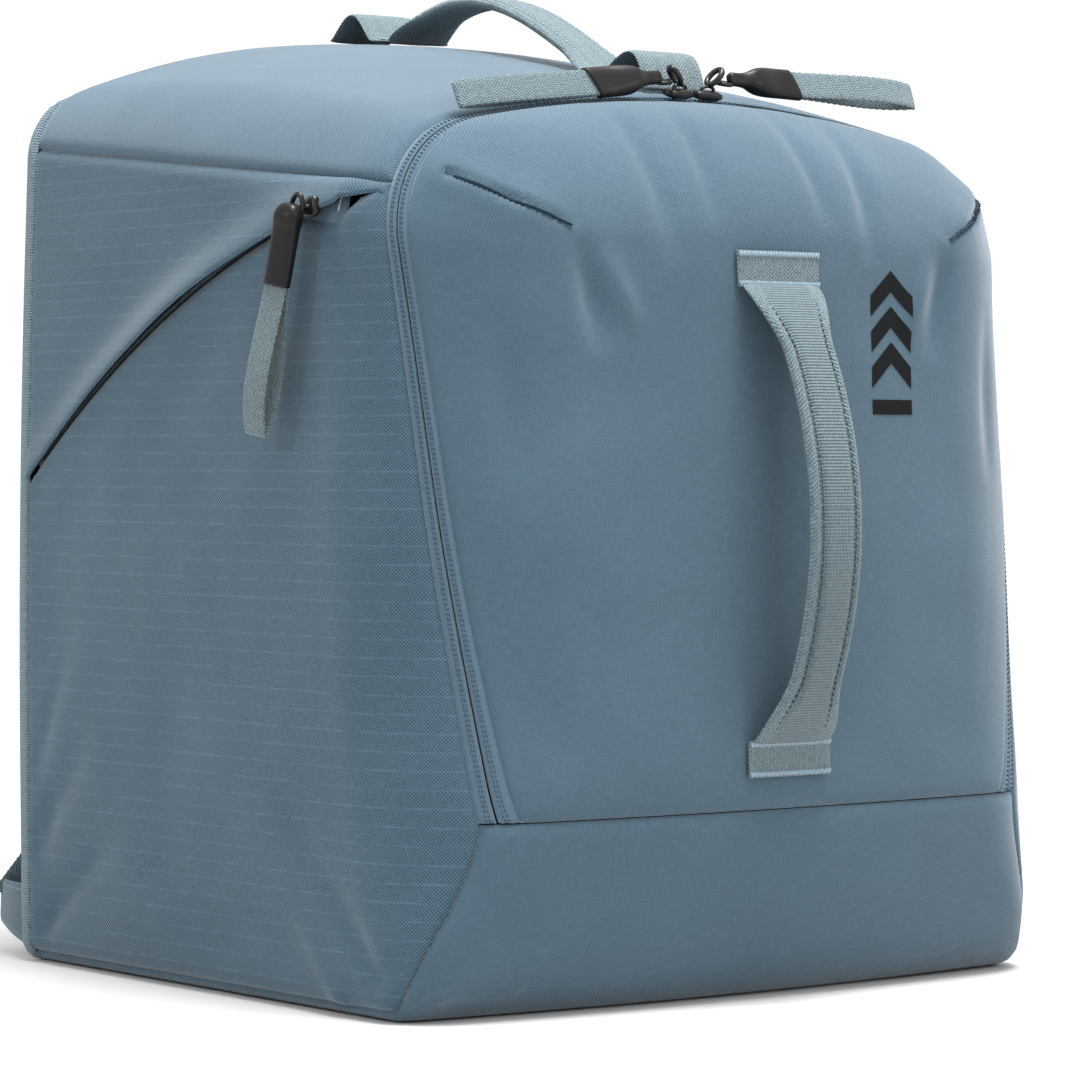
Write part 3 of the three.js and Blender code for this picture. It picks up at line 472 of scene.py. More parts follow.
def canvas(name, dark, light, thread, rip_gap=None, roughness=0.82):
    """Woven cloth with threads this far apart, and rip lines across it at a wider gap."""
    material, tree, shader = blank_material(name, roughness, 0.2)
    shader.inputs["Sheen Weight"].default_value = 0.45
    shader.inputs["Sheen Roughness"].default_value = 0.4
    shader.inputs["Sheen Tint"].default_value = colour_of(225, 232, 238)
    vector, u, v = cloth_axes(tree)
    warp = sum_of(tree, "SINE", sum_of(tree, "MULTIPLY", u, math.tau / thread))
    weft = sum_of(tree, "SINE", sum_of(tree, "MULTIPLY", v, math.tau / thread))
    dots = sum_of(tree, "MULTIPLY", warp, weft)
    slubs = stretched_noise(tree, vector, (160, 1300))
    ends = stretched_noise(tree, vector, (1300, 200))
    cloudy = stretched_noise(tree, vector, (14, 14), 3)
    threads = sum_of(tree, "MULTIPLY", slubs, ends)
    tone = sum_of(tree, "ADD", sum_of(tree, "MULTIPLY", dots, 0.55), sum_of(tree, "MULTIPLY", threads, 0.9))
    tone = sum_of(tree, "ADD", tone, sum_of(tree, "MULTIPLY", cloudy, 0.3))
    height = sum_of(tree, "ADD", dots, threads)
    if rip_gap:
        phase = sum_of(tree, "FRACT", sum_of(tree, "MULTIPLY", v, 1 / rip_gap))
        line = ramped(tree, sum_of(tree, "ABSOLUTE", sum_of(tree, "SUBTRACT", phase, 0.5)), 0.07, 0.03)
        gaps = ramped(tree, stretched_noise(tree, vector, (90, 120)), 0.3, 0.7)
        broken = sum_of(tree, "MULTIPLY", line, gaps)
        tone = sum_of(tree, "ADD", tone, sum_of(tree, "MULTIPLY", broken, 0.4))
        height = sum_of(tree, "ADD", height, sum_of(tree, "MULTIPLY", broken, 1.0))
    tree.links.new(mixed(tree, tone, dark, light), shader.inputs["Base Color"])
    embossed(tree, shader, height, 0.07 * MM)
    return material


def speckled(name, roughness, specular, grain, dark, light, depth=0):
    """A moulded or spun surface with a fine mottle all over."""
    material, tree, shader = blank_material(name, roughness, specular)
    place = node_of(tree, "ShaderNodeTexCoord")
    spots = node_of(tree, "ShaderNodeTexNoise")
    spots.inputs["Scale"].default_value = grain
    tree.links.new(place.outputs["Object"], spots.inputs["Vector"])
    tree.links.new(mixed(tree, spots.outputs["Fac"], dark, light), shader.inputs["Base Color"])
    if depth:
        embossed(tree, shader, spots.outputs["Fac"], depth)
    return material


shell_cloth = canvas("canvas", colour_of(48, 67, 80), colour_of(83, 106, 121), 1.3 * MM)
side_cloth = canvas("ripstop_canvas", colour_of(42, 61, 74), colour_of(77, 101, 116), 1.7 * MM, 8.4 * MM)
lining = canvas("lining", colour_of(96, 104, 109), colour_of(122, 130, 134), 0.9 * MM)

# ---- base wrap ---------------------------------------------------------------------------------------
# One canvas panel goes across the front below the zip, under the floor and up to the back. Its sides are
# sewn to the side panels, and it is foam backed so the bag stands by itself.
BINDING_FRONT = BACK_Y - WALL - 10 * MM
SEAM_Z = WALL + 0.5 * MM
SEAM_CORNER_Y = -0.158
SEAM_BEND = 1.7
TAPE_HALF = 4.4 * MM
PANEL_DEPTH = 3 * MM
ZIP_CROWN_Z = HEIGHT - TOP_FRONT_DROP
SEAM_DEPTH = 2.4 * MM
SEAM_WIDTH = 6.5 * MM


def zip_y(line, z):
    """The zip's lines: -1 at the flap, 0 in the middle of the tape, 1 at the body."""
    share = (z - ZIP_FOOT_Z) / (ZIP_CROWN_Z - ZIP_FOOT_Z)
    return ZIP_FOOT_Y + (ZIP_TOP_Y - ZIP_FOOT_Y) * share + line * TAPE_HALF


def lower_seam(side, count=80):
    """The seam beside the lower front, from the zip's foot to the floor."""
    t = np.linspace(0, 1, count)
    foot = zip_y(1, ZIP_FOOT_Z)
    y = foot + (SEAM_CORNER_Y - foot) * t**SEAM_BEND
    return on_side(side, y, ZIP_FOOT_Z + (SEAM_Z - ZIP_FOOT_Z) * t)


def floor_seam(side, count=60):
    return on_side(side, np.linspace(SEAM_CORNER_Y, BINDING_FRONT, count), SEAM_Z)


def front_line(z, left, right, count=121):
    """Across the front at one height, between two points of the block."""
    centre = np.array([0, HUB[1], z])
    first = math.atan2(left[0], HUB[1] - left[1])
    last = math.atan2(right[0], HUB[1] - right[1])
    path = slice_of(centre, (1, 0, 0), (0, -1, 0), first, last, count)
    path[0], path[-1] = left, right
    return path


base_edges = [np.concatenate([lower_seam(k), floor_seam(k)[1:]]) for k in (-1, 1)]
base_top = front_line(ZIP_FOOT_Z, base_edges[0][0], base_edges[1][0])
base_back = at_shares(np.array([base_edges[0][-1], base_edges[1][-1]]), np.linspace(0, 1, 60))
base_back = cast(HUB, base_back - HUB)
base_grid = spread(base_back, base_top, base_edges[0][::-1], base_edges[1][::-1], 5 * MM)
_, top_gap, left_gap, right_gap = from_edges(base_grid)
base_lift = np.minimum(
    seam_dip(np.minimum(left_gap, right_gap), SEAM_DEPTH, SEAM_WIDTH),
    seam_dip(top_gap, SEAM_DEPTH * 0.8, SEAM_WIDTH),
)
base_lift += ripples(base_grid, 0.07, 0.5 * MM, 1) * np.clip(top_gap / 0.02, 0, 1)
under = base_grid[..., 2] < 1.5 * MM
base_lift[under] = 0
base_uv = np.stack([
    np.sign(base_grid[..., 0]) * wrapped(np.abs(base_grid[..., 0]), 0.130, 0.060),
    np.where(base_grid[..., 2] > 0.012, base_grid[..., 2], -base_grid[..., 1] - 0.17),
], -1)
base = panel("base_wrap", base_grid, base_lift, base_uv, [shell_cloth, lining], PANEL_DEPTH)
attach(base, "root")
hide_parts("base_wrap")

# ---- side panels and slash pockets -------------------------------------------------------------------
# Each side is ripstop canvas in two pieces. The upper one ends in a folded lip that lies over the zip of a
# pocket, along a slanting curve, and the lower one runs from there to the floor.
POCKET_RADIUS = 0.640
POCKET_FRONT = np.array([-0.113, HEIGHT - 0.101])
POCKET_BACK = np.array([0.144, HEIGHT - 0.222])
TOP_SEAM_FRONT_Z = HEIGHT - 0.092
TOP_SEAM_BACK_Z = HEIGHT - 0.063
LIP_OVERLAP = 1.5 * MM
LIP_RISE = 2.9 * MM
LIP_REACH = 16 * MM
BOUND_DEPTH = 0.5 * MM
BOUND_WIDTH = 4 * MM
# The folds of a side panel: from and to, each as y and z, then width and depth.
SIDE_FOLDS = (
    ((-0.150, 0.020), (-0.060, 0.110), 8.1 * MM, 2.72 * MM),
    ((-0.120, 0.010), (-0.070, 0.060), 6.3 * MM, -2.38 * MM),
    ((0.148, 0.060), (0.090, 0.120), 9.9 * MM, 3.06 * MM),
    ((0.148, 0.100), (0.105, 0.170), 8.1 * MM, 2.04 * MM),
    ((0.140, 0.020), (0.060, 0.075), 8.1 * MM, 2.72 * MM),
    ((-0.168, 0.240), (-0.140, 0.180), 6.3 * MM, 1.70 * MM),
    ((-0.110, 0.360), (-0.135, 0.300), 7.2 * MM, 2.38 * MM),
)

chord = POCKET_BACK - POCKET_FRONT
below = np.array([chord[1], -chord[0]]) / np.linalg.norm(chord)
pocket_centre = (
    POCKET_FRONT + chord / 2 + below * math.sqrt(POCKET_RADIUS**2 - (chord @ chord) / 4)
)
pocket_angles = [
    math.atan2(*(p - pocket_centre)[::-1]) for p in (POCKET_FRONT, POCKET_BACK)
]


def top_seam_z(y):
    share = (y - ZIP_TOP_Y) / (BINDING_FRONT - ZIP_TOP_Y)
    return TOP_SEAM_FRONT_Z + (TOP_SEAM_BACK_Z - TOP_SEAM_FRONT_Z) * share


def pocket_line(side, offset, first=0.0, last=1.0, count=140):
    """Along the pocket's curve, moved up by offset, which may change along it."""
    t = np.linspace(first, last, count)
    angle = pocket_angles[0] + (pocket_angles[1] - pocket_angles[0]) * t
    radius = POCKET_RADIUS + (offset(t) if callable(offset) else offset)
    y, z = pocket_centre[0] + radius * np.cos(angle), pocket_centre[1] + radius * np.sin(angle)
    return on_side(side, y, z)


def mouth(t):
    """The pocket gapes at its front end, round the slider."""
    return 6.5 * MM * np.exp(-(((t - 0.035) / 0.05) ** 2)) * (t > -0.03)


def side_line(side, start, end, count=60):
    """A line drawn straight in the side view."""
    t = np.linspace(0, 1, count)
    return on_side(side, start[0] + (end[0] - start[0]) * t, start[1] + (end[1] - start[1]) * t)


meet_z = TOP_SEAM_FRONT_Z
for _ in range(8):
    meet_z = top_seam_z(zip_y(1, meet_z))
MEET = (zip_y(1, meet_z), meet_z)
TOP_SEAM_Y = np.linspace(MEET[0], BINDING_FRONT, 120)
FRONT_RUN = -0.075
split_z = meet_z - 7 * MM
BEHIND = 1.033


def side_uv(points):
    """Straight across and up the cloth, also where it bends round the front corner."""
    bend = -points[..., 1] - 0.118
    across = np.where(bend > 0, -0.118 - wrapped(np.maximum(bend, 0), 0, 0.085), points[..., 1])
    return np.stack([across, points[..., 2]], -1)


for side, name in ((-1, "left"), (1, "right")):
    lower_top = pocket_line(side, lambda t: LIP_OVERLAP * (t > 0) - mouth(t), FRONT_RUN, BEHIND)
    zip_edge = side_line(side, (zip_y(1, ZIP_FOOT_Z), ZIP_FOOT_Z), (zip_y(1, split_z), split_z), 160)
    front_edge = np.concatenate([lower_seam(side)[::-1], zip_edge[1:]])
    lower_top[0] = front_edge[-1]
    back_edge = side_line(side, (BINDING_FRONT, SEAM_Z), (BINDING_FRONT, lower_top[-1][2]))
    lower_top[-1] = back_edge[-1]
    grid = spread(floor_seam(side), lower_top, front_edge, back_edge, 3.2 * MM)
    low_gap, high_gap, front_gap, rear_gap = from_edges(grid)
    along_pocket = np.linspace(0, 1, grid.shape[1])[None, :]
    open_here = np.clip((along_pocket - 0.06) / 0.05, 0, 1)
    lift = np.minimum.reduce([
        seam_dip(low_gap, SEAM_DEPTH * 0.7, SEAM_WIDTH),
        seam_dip(front_gap, SEAM_DEPTH, SEAM_WIDTH),
        seam_dip(rear_gap, BOUND_DEPTH, BOUND_WIDTH),
        seam_dip(high_gap, 1 * MM + 3.6 * MM * open_here, 8 * MM),
    ])
    soft = np.clip(np.minimum(np.minimum(low_gap, front_gap), np.minimum(high_gap, rear_gap)) / 0.03, 0, 1)
    broad, small = ripples(grid, 0.09, 2.0 * MM, 2 + side), ripples(grid, 0.035, 0.8 * MM, 5 + side)
    lift = lift + soft * (broad + small)
    for start, end, width, depth in SIDE_FOLDS:
        fold = crease(grid, side_line(side, start, end, 14), width, depth)
        lift = lift + fold * np.clip(rear_gap / 0.02, 0, 1) * np.clip(front_gap / 0.02, 0, 1)
    lower = panel(f"{name}_side_panel", grid, lift, side_uv(grid), [side_cloth, lining], PANEL_DEPTH)

    lip = pocket_line(side, lambda t: -LIP_OVERLAP * (t > 0), FRONT_RUN, BEHIND)
    top_edge = on_side(side, TOP_SEAM_Y, top_seam_z(TOP_SEAM_Y))
    front_edge = side_line(side, (zip_y(1, split_z), split_z), MEET, 12)
    front_edge[-1] = top_edge[0]
    lip[0] = front_edge[0]
    back_edge = side_line(side, (BINDING_FRONT, lip[-1][2]), (BINDING_FRONT, top_edge[-1][2]))
    lip[-1], back_edge[-1] = back_edge[0], top_edge[-1]
    grid = spread(lip, top_edge, front_edge, back_edge, 3.2 * MM)
    low_gap, high_gap, front_gap, rear_gap = from_edges(grid)
    along_pocket = np.linspace(0, 1, grid.shape[1])[None, :]
    open_here = np.clip((along_pocket - 0.06) / 0.05, 0, 1)
    proud = LIP_RISE * np.exp(-((low_gap / LIP_REACH) ** 2)) * open_here
    proud = proud * (1 + np.sin(np.pi * along_pocket) ** 2)
    lift = np.minimum.reduce([
        seam_dip(high_gap, SEAM_DEPTH, SEAM_WIDTH),
        seam_dip(front_gap, SEAM_DEPTH, SEAM_WIDTH),
        seam_dip(rear_gap, BOUND_DEPTH, BOUND_WIDTH),
        seam_dip(low_gap, 1 * MM, 2.4 * MM),
    ])
    soft = np.clip(np.minimum(high_gap, rear_gap) / 0.03, 0, 1)
    lift = lift + proud + soft * ripples(grid, 0.07, 1.0 * MM, 9 + side)
    upper = panel(f"{name}_side_yoke", grid, lift, side_uv(grid), [side_cloth, lining], PANEL_DEPTH * 0.8)
    for piece in (lower, upper):
        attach(piece, "root")
        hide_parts(f"{name}_side_panel")

# ---- top panel ---------------------------------------------------------------------------------------
# A canvas panel over the crown, from the zip to the back binding. It rolls over the side edges to the
# seam with the side panels.
def zip_arch(line, first, last, count=361):
    """Along the zip in its own slanting plane, clockwise from the top."""
    rise = np.array([0, ZIP_TOP_Y - ZIP_FOOT_Y, ZIP_CROWN_Z - ZIP_FOOT_Z])
    rise /= np.linalg.norm(rise)
    centre = np.array([0, zip_y(line, HUB[2]), HUB[2]])
    return slice_of(centre, (1, 0, 0), rise, first, last, count)


def arch_from(line, z):
    """The zip's arch down to a height on both sides."""
    whole = zip_arch(line, -2.8, 2.8, 2400)
    return whole[whole[:, 2] >= z]


top_front = arch_from(1, meet_z)
seams = [on_side(k, TOP_SEAM_Y, top_seam_z(TOP_SEAM_Y)) for k in (-1, 1)]
behind_centre = np.array([0, BINDING_FRONT, HUB[2]])
reach = math.atan2(seams[1][-1][0], seams[1][-1][2] - HUB[2])
top_back = slice_of(behind_centre, (1, 0, 0), (0, 0, 1), -reach, reach)
top_grid = spread(top_front, top_back, seams[0], seams[1], 3.6 * MM)
front_gap, rear_gap, left_gap, right_gap = from_edges(top_grid)
top_lift = np.minimum.reduce([
    seam_dip(np.minimum(left_gap, right_gap), SEAM_DEPTH, SEAM_WIDTH),
    seam_dip(front_gap, SEAM_DEPTH, SEAM_WIDTH),
    seam_dip(rear_gap, BOUND_DEPTH, BOUND_WIDTH),
])
soft = np.clip(np.minimum(np.minimum(left_gap, right_gap), np.minimum(front_gap, rear_gap)) / 0.03, 0, 1)
top_lift += soft * (ripples(top_grid, 0.10, 1.6 * MM, 14) + ripples(top_grid, 0.04, 0.5 * MM, 15))
top_uv = np.stack([
    np.sign(top_grid[..., 0]) * wrapped(np.abs(top_grid[..., 0]), 0.150, 0.042), top_grid[..., 1]
], -1)
top = panel("top_panel", top_grid, top_lift, top_uv, [shell_cloth, lining], PANEL_DEPTH)
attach(top, "root")
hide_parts("top_panel")

# ---- front flap --------------------------------------------------------------------------------------
# The flap is one foam-backed canvas panel inside the zip. A dart at each upper corner gives it its depth,
# and it folds down over the seam at its foot.
flap_arch = arch_from(-1, ZIP_FOOT_Z + 0.4 * MM)
corner = np.searchsorted(lengths(flap_arch) / lengths(flap_arch)[-1], [0.345, 0.655])
flap_left, flap_top, flap_right = (
    flap_arch[: corner[0] + 1],
    flap_arch[corner[0] : corner[1] + 1],
    flap_arch[corner[1] :][::-1],
)
flap_low = front_line(ZIP_FOOT_Z + 0.4 * MM, flap_left[0], flap_right[0])
flap_grid = spread(flap_low, flap_top, flap_left, flap_right, 1.9 * MM)
low_gap, high_gap, left_gap, right_gap = from_edges(flap_grid)
edge_gap = np.minimum(np.minimum(left_gap, right_gap), high_gap)
flap_lift = np.minimum(
    seam_dip(edge_gap, 1.6 * MM, 5 * MM), seam_dip(low_gap, SEAM_DEPTH * 0.9, SEAM_WIDTH)
)
soft = np.clip(np.minimum(edge_gap, low_gap) / 0.03, 0, 1)
flap_lift += soft * (ripples(flap_grid, 0.11, 2.6 * MM, 21) + ripples(flap_grid, 0.04, 0.9 * MM, 22))
# The folds on each half of the flap: from and to, each as x and z, then width and depth.
FLAP_FOLDS = (
    ((0.112, 0.357), (0.100, 0.300), 7.2 * MM, 3.74 * MM),
    ((0.100, 0.350), (0.082, 0.310), 6.4 * MM, -2.38 * MM),
    ((0.065, 0.422), (0.060, 0.345), 6.4 * MM, 2.72 * MM),
    ((0.030, 0.424), (0.034, 0.360), 5.6 * MM, 2.38 * MM),
    ((0.150, 0.330), (0.146, 0.240), 8.0 * MM, 2.04 * MM),
)
DART = [(0.161, 0.382), (0.141, 0.370), (0.115, 0.359)]
DART_SEAM = [(0.159, 0.3805), (0.141, 0.370), (0.115, 0.359)]
for k in (-1, 1):
    dart = at_shares(on_front([k * x for x, _ in DART], [z for _, z in DART]), np.linspace(0, 1, 18))
    gap, share = near_path(flap_grid, dart)
    flap_lift -= 3.4 * MM * np.exp(-((gap / (1.5 * MM)) ** 2)) * np.clip((1 - share) * 6, 0, 1)
    flap_lift += 2.6 * MM * np.exp(-((gap / 0.011) ** 2)) * np.clip((1 - share) * 3, 0, 1)
    for start, end, width, depth in FLAP_FOLDS:
        line = on_front(np.linspace(start[0], end[0], 14) * k, np.linspace(start[1], end[1], 14))
        flap_lift += crease(flap_grid, line, width, depth, 0)
flap_uv = np.stack([
    np.sign(flap_grid[..., 0]) * wrapped(np.abs(flap_grid[..., 0]), 0.118, 0.072),
    wrapped(flap_grid[..., 2], 0.372, 0.056),
], -1)
flap = panel("front_flap", flap_grid, flap_lift, flap_uv, [shell_cloth, lining], PANEL_DEPTH)
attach(flap, "flap")
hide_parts("front_flap")

# ---- printed mark ------------------------------------------------------------------------------------
# Three plain chevrons over a bar, screen-printed in black at the right of the flap. The strokes follow the
# flap's finished face, folds and all, a third of a millimetre above it.
ink, ink_tree, ink_shader = blank_material("black_ink", 0.7, 0.15)
ink_grain = stretched_noise(ink_tree, cloth_axes(ink_tree)[0], (900, 900))
ink_colour = mixed(ink_tree, ink_grain, colour_of(3, 4, 6), colour_of(12, 14, 17))
ink_tree.links.new(ink_colour, ink_shader.inputs["Base Color"])
embossed(ink_tree, ink_shader, ink_grain, 0.06 * MM)
MARK_MIDDLE = 0.0725
MARK_HALF = 0.0135
# Each stroke's foot at its ends, its height and how far its middle rises.
MARK_STROKES = ((0.2745, 0.007, 0), (0.287, 0.010, 0.012), (0.304, 0.010, 0.012), (0.321, 0.010, 0.012))
flap_skin = BVHTree.FromPolygons(
    [v.co.copy() for v in flap.data.vertices], [tuple(f.vertices) for f in flap.data.polygons]
)


def printed(x, z):
    """The point of the flap's face seen straight ahead at this place."""
    hit, normal, _, _ = flap_skin.ray_cast(Vector((x, -0.5, z)), Vector((0, 1, 0)))
    return np.array(hit + (normal if normal.y < 0 else -normal) * 0.3 * MM)


points, faces, uv = [], [], []
for foot, height, peak in MARK_STROKES:
    steps = np.linspace(-1, 1, 25)
    first = len(points)
    for k in steps:
        for rung in (0, 0.5, 1):
            x = MARK_MIDDLE + k * MARK_HALF
            z = foot + peak * (1 - abs(k)) + height * rung
            points.append(printed(x, z))
            uv.append((x, z))
    for i in range(len(steps) - 1):
        for j in range(2):
            at = first + i * 3 + j
            faces.append((at, at + 3, at + 4, at + 1))
mark = mesh_object("printed_mark", points, faces, [ink], uv)
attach(mark, "flap")


# ---- back panel and binding --------------------------------------------------------------------------
# The back is a flat padded panel. A folded grosgrain binding covers the seam all round it.
BINDING_BACK = BACK_Y - WALL


def back_outline(y, first, last, count=200):
    return slice_of(np.array([0, y, HUB[2]]), (1, 0, 0), (0, 0, 1), first, last, count)


quarter = math.atan2(0.17, 0.21)
back_top = back_outline(BINDING_BACK, -quarter, quarter)
back_right = back_outline(BINDING_BACK, quarter, math.pi - quarter)
back_low = back_outline(BINDING_BACK, math.pi + quarter, math.pi - quarter)
back_left = back_outline(BINDING_BACK, math.pi + quarter, 2 * math.pi - quarter)
back_right = back_right[::-1]
back_grid = spread(back_low, back_top, back_left, back_right, 6 * MM)
gaps = from_edges(back_grid)
back_lift = seam_dip(np.minimum.reduce(gaps), 1.0 * MM, 5 * MM)
inside = (gaps[2] > 0.04) * (gaps[3] > 0.04)
for level in (0.10, 0.18, 0.26, 0.34):
    back_lift += seam_dip(np.abs(back_grid[..., 2] - level), 1.2 * MM, 7 * MM) * inside
back = panel("back_panel", back_grid, back_lift, back_grid[..., [0, 2]], [shell_cloth, lining], PANEL_DEPTH)
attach(back, "root")
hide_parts("back_panel")


def closed_band(name, loops, lifts, materials, thickness, uv_width):
    """A band of cloth that runs right round the bag, from loops of points one beside the other."""
    loops = np.array(loops)
    normal = outward(loops)
    count = loops.shape[1]
    points = (loops + normal * np.array(lifts)[:, None, None]).reshape(-1, 3)
    points[:, 2] = np.maximum(points[:, 2], 0)
    faces = []
    for i in range(len(loops) - 1):
        for j in range(count):
            after = (j + 1) % count
            faces.append((i * count + j, (i + 1) * count + j, (i + 1) * count + after, i * count + after))
    run = lengths(np.concatenate([loops[0], loops[0][:1]]))[:-1]
    uv = np.stack(np.broadcast_arrays(
        np.linspace(0, uv_width, len(loops))[:, None], run[None, :]
    ), -1)
    thing = mesh_object(name, points, faces, materials, uv.reshape(-1, 2))
    face = thing.data.polygons[0]
    if Vector(normal[0, 0]).dot(face.normal) < 0:
        thing.data.flip_normals()
    wall = thing.modifiers.new("wall", "SOLIDIFY")
    wall.thickness = thickness
    wall.offset = -1
    return applied(thing)


def webbing(name, dark, light, rib, slant=1.0):
    """Woven tape: ribs that slant from its middle to both edges."""
    material, tree, shader = blank_material(name, 0.78, 0.3)
    shader.inputs["Sheen Weight"].default_value = 0.2
    vector, u, v = cloth_axes(tree)
    fold = sum_of(tree, "PINGPONG", u, 5 * MM)
    along = sum_of(tree, "ADD", v, sum_of(tree, "MULTIPLY", fold, slant))
    ribs = sum_of(tree, "SINE", sum_of(tree, "MULTIPLY", along, math.tau / rib))
    cross = sum_of(tree, "SINE", sum_of(tree, "MULTIPLY", u, math.tau / (0.9 * MM)))
    yarn = stretched_noise(tree, vector, (900, 350))
    height = sum_of(tree, "ADD", ribs, sum_of(tree, "MULTIPLY", cross, 0.5))
    tone = sum_of(tree, "ADD", sum_of(tree, "MULTIPLY", height, 0.22), ramped(tree, yarn, 0.1, 0.9))
    tree.links.new(mixed(tree, tone, dark, light), shader.inputs["Base Color"])
    embossed(tree, shader, sum_of(tree, "ADD", height, yarn), 0.22 * MM)
    return material


web_cloth = webbing("webbing", colour_of(64, 81, 89), colour_of(112, 131, 136), 1.9 * MM)
binding_cloth = webbing("grosgrain", colour_of(72, 92, 102), colour_of(112, 133, 142), 1.4 * MM, 0.0)
tape_cloth = canvas("zip_tape", colour_of(66, 87, 102), colour_of(86, 108, 123), 0.7 * MM)

binding_rows = np.linspace(0, 1, 9)
binding_y = BINDING_FRONT + (BINDING_BACK - BINDING_FRONT) * binding_rows
tucked = np.abs(binding_rows - 0.5) > 0.49
binding = closed_band(
    "edge_binding",
    [back_outline(y, 0, math.tau, 481)[:-1] for y in binding_y],
    0.5 * MM + 0.7 * MM * np.sin(np.pi * binding_rows) ** 0.5 - 1.4 * MM * tucked,
    [binding_cloth],
    2.2 * MM,
    12 * MM,
)
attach(binding, "root")
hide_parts("edge_binding")

# ---- stitching ---------------------------------------------------------------------------------------
# Bonded thread, a shade lighter than the cloth. Geometry nodes set one stitch on every vertex of a guide,
# laid along the guide's "along" direction.


def stitch_tree():
    tree = bpy.data.node_groups.new("stitches", "GeometryNodeTree")
    tree.interface.new_socket("Geometry", in_out="INPUT", socket_type="NodeSocketGeometry")
    for label in ("Length", "Thread", "Unevenness"):
        tree.interface.new_socket(label, in_out="INPUT", socket_type="NodeSocketFloat")
    tree.interface.new_socket("Material", in_out="INPUT", socket_type="NodeSocketMaterial")
    tree.interface.new_socket("Geometry", in_out="OUTPUT", socket_type="NodeSocketGeometry")
    given = node_of(tree, "NodeGroupInput")
    ready = node_of(tree, "NodeGroupOutput")
    ball = node_of(tree, "GeometryNodeMeshUVSphere")
    ball.inputs["Segments"].default_value = 6
    ball.inputs["Rings"].default_value = 5
    ball.inputs["Radius"].default_value = 0.5
    size = node_of(tree, "ShaderNodeCombineXYZ")
    jitter = node_of(tree, "FunctionNodeRandomValue")
    jitter.inputs["Seed"].default_value = 7
    low = node_of(tree, "ShaderNodeMath", operation="SUBTRACT")
    low.inputs[0].default_value = 1
    tree.links.new(given.outputs["Unevenness"], low.inputs[1])
    tree.links.new(low.outputs[0], jitter.inputs[2])
    jitter.inputs[3].default_value = 1
    long = node_of(tree, "ShaderNodeMath", operation="MULTIPLY")
    tree.links.new(given.outputs["Length"], long.inputs[0])
    tree.links.new(jitter.outputs[1], long.inputs[1])
    tree.links.new(given.outputs["Thread"], size.inputs[0])
    tree.links.new(given.outputs["Thread"], size.inputs[1])
    tree.links.new(long.outputs[0], size.inputs[2])
    along = node_of(tree, "GeometryNodeInputNamedAttribute", data_type="FLOAT_VECTOR")
    along.inputs["Name"].default_value = "along"
    turn = node_of(tree, "FunctionNodeAlignRotationToVector", axis="Z")
    tree.links.new(along.outputs[0], turn.inputs["Vector"])
    place = node_of(tree, "GeometryNodeInstanceOnPoints")
    tree.links.new(given.outputs["Geometry"], place.inputs["Points"])
    tree.links.new(ball.outputs["Mesh"], place.inputs["Instance"])
    tree.links.new(turn.outputs[0], place.inputs["Rotation"])
    tree.links.new(size.outputs[0], place.inputs["Scale"])
    real = node_of(tree, "GeometryNodeRealizeInstances")
    soft = node_of(tree, "GeometryNodeSetShadeSmooth")
    dress = node_of(tree, "GeometryNodeSetMaterial")
    tree.links.new(place.outputs[0], real.inputs[0])
    tree.links.new(real.outputs[0], soft.inputs["Geometry"])
    tree.links.new(soft.outputs[0], dress.inputs["Geometry"])
    tree.links.new(given.outputs["Material"], dress.inputs["Material"])
    tree.links.new(dress.outputs[0], ready.inputs[0])
    return tree


stitches = stitch_tree()
STITCH_INPUTS = {s.name: s.identifier for s in stitches.interface.items_tree if s.in_out == "INPUT"}

thread_material = speckled("thread", 0.55, 0.4, 1800, colour_of(100, 122, 136), colour_of(146, 164, 174))
dull_thread = speckled("dull_thread", 0.7, 0.3, 1500, colour_of(30, 44, 55), colour_of(52, 70, 83))
# Painted shade: a near-black material for the strips laid along each dart, where the shadow of its sewn
# groove falls.
seam_shadow = speckled("painted_seam_shadow", 0.9, 0.1, 600, colour_of(22, 34, 42), colour_of(44, 58, 68))


def sewn(name, rows, length, thread, material, unevenness=0.15):
    """Stitches at the points of rows, each a pair of points and the directions they lie in."""
    points = np.concatenate([np.asarray(p, float) for p, _ in rows])
    along = np.concatenate([np.broadcast_to(a, np.shape(p)) for p, a in rows])
    guide = mesh_object(name, points, [], [], smooth=False)
    attribute = guide.data.attributes.new("along", "FLOAT_VECTOR", "POINT")
    attribute.data.foreach_set("vector", along.astype(np.float32).ravel())
    work = guide.modifiers.new("stitches", "NODES")
    work.node_group = stitches
    work[STITCH_INPUTS["Length"]] = float(length)
    work[STITCH_INPUTS["Thread"]] = float(thread)
    work[STITCH_INPUTS["Unevenness"]] = float(unevenness)
    work[STITCH_INPUTS["Material"]] = material
    return applied(guide)


def stations(path, pitch):
    """Points this far apart along a path, with the path's direction at each."""
    total = lengths(path)[-1]
    count = max(2, round(total / pitch))
    shares = (np.arange(count) + 0.5) / count
    before, after = at_shares(path, shares - 0.4 / count), at_shares(path, shares + 0.4 / count)
    way = after - before
    return at_shares(path, shares), way / np.linalg.norm(way, axis=1, keepdims=True)


# ---- main zip ----------------------------------------------------------------------------------------
# A reversed coil zip runs in an arch round the flap. Its two tapes meet over the coil, and each is held
# by two rows of fine stitches. The coil's turns show from inside when the flap is open.
TAPE_SINK = 0.9 * MM
COIL_SINK = 2.6 * MM
ZIP_SHARES = np.linspace(0, 1, 460)


def tape_path(line, lift):
    path = at_shares(arch_from(line, ZIP_FOOT_Z + 0.4 * MM), ZIP_SHARES)
    return path + outward(path) * lift


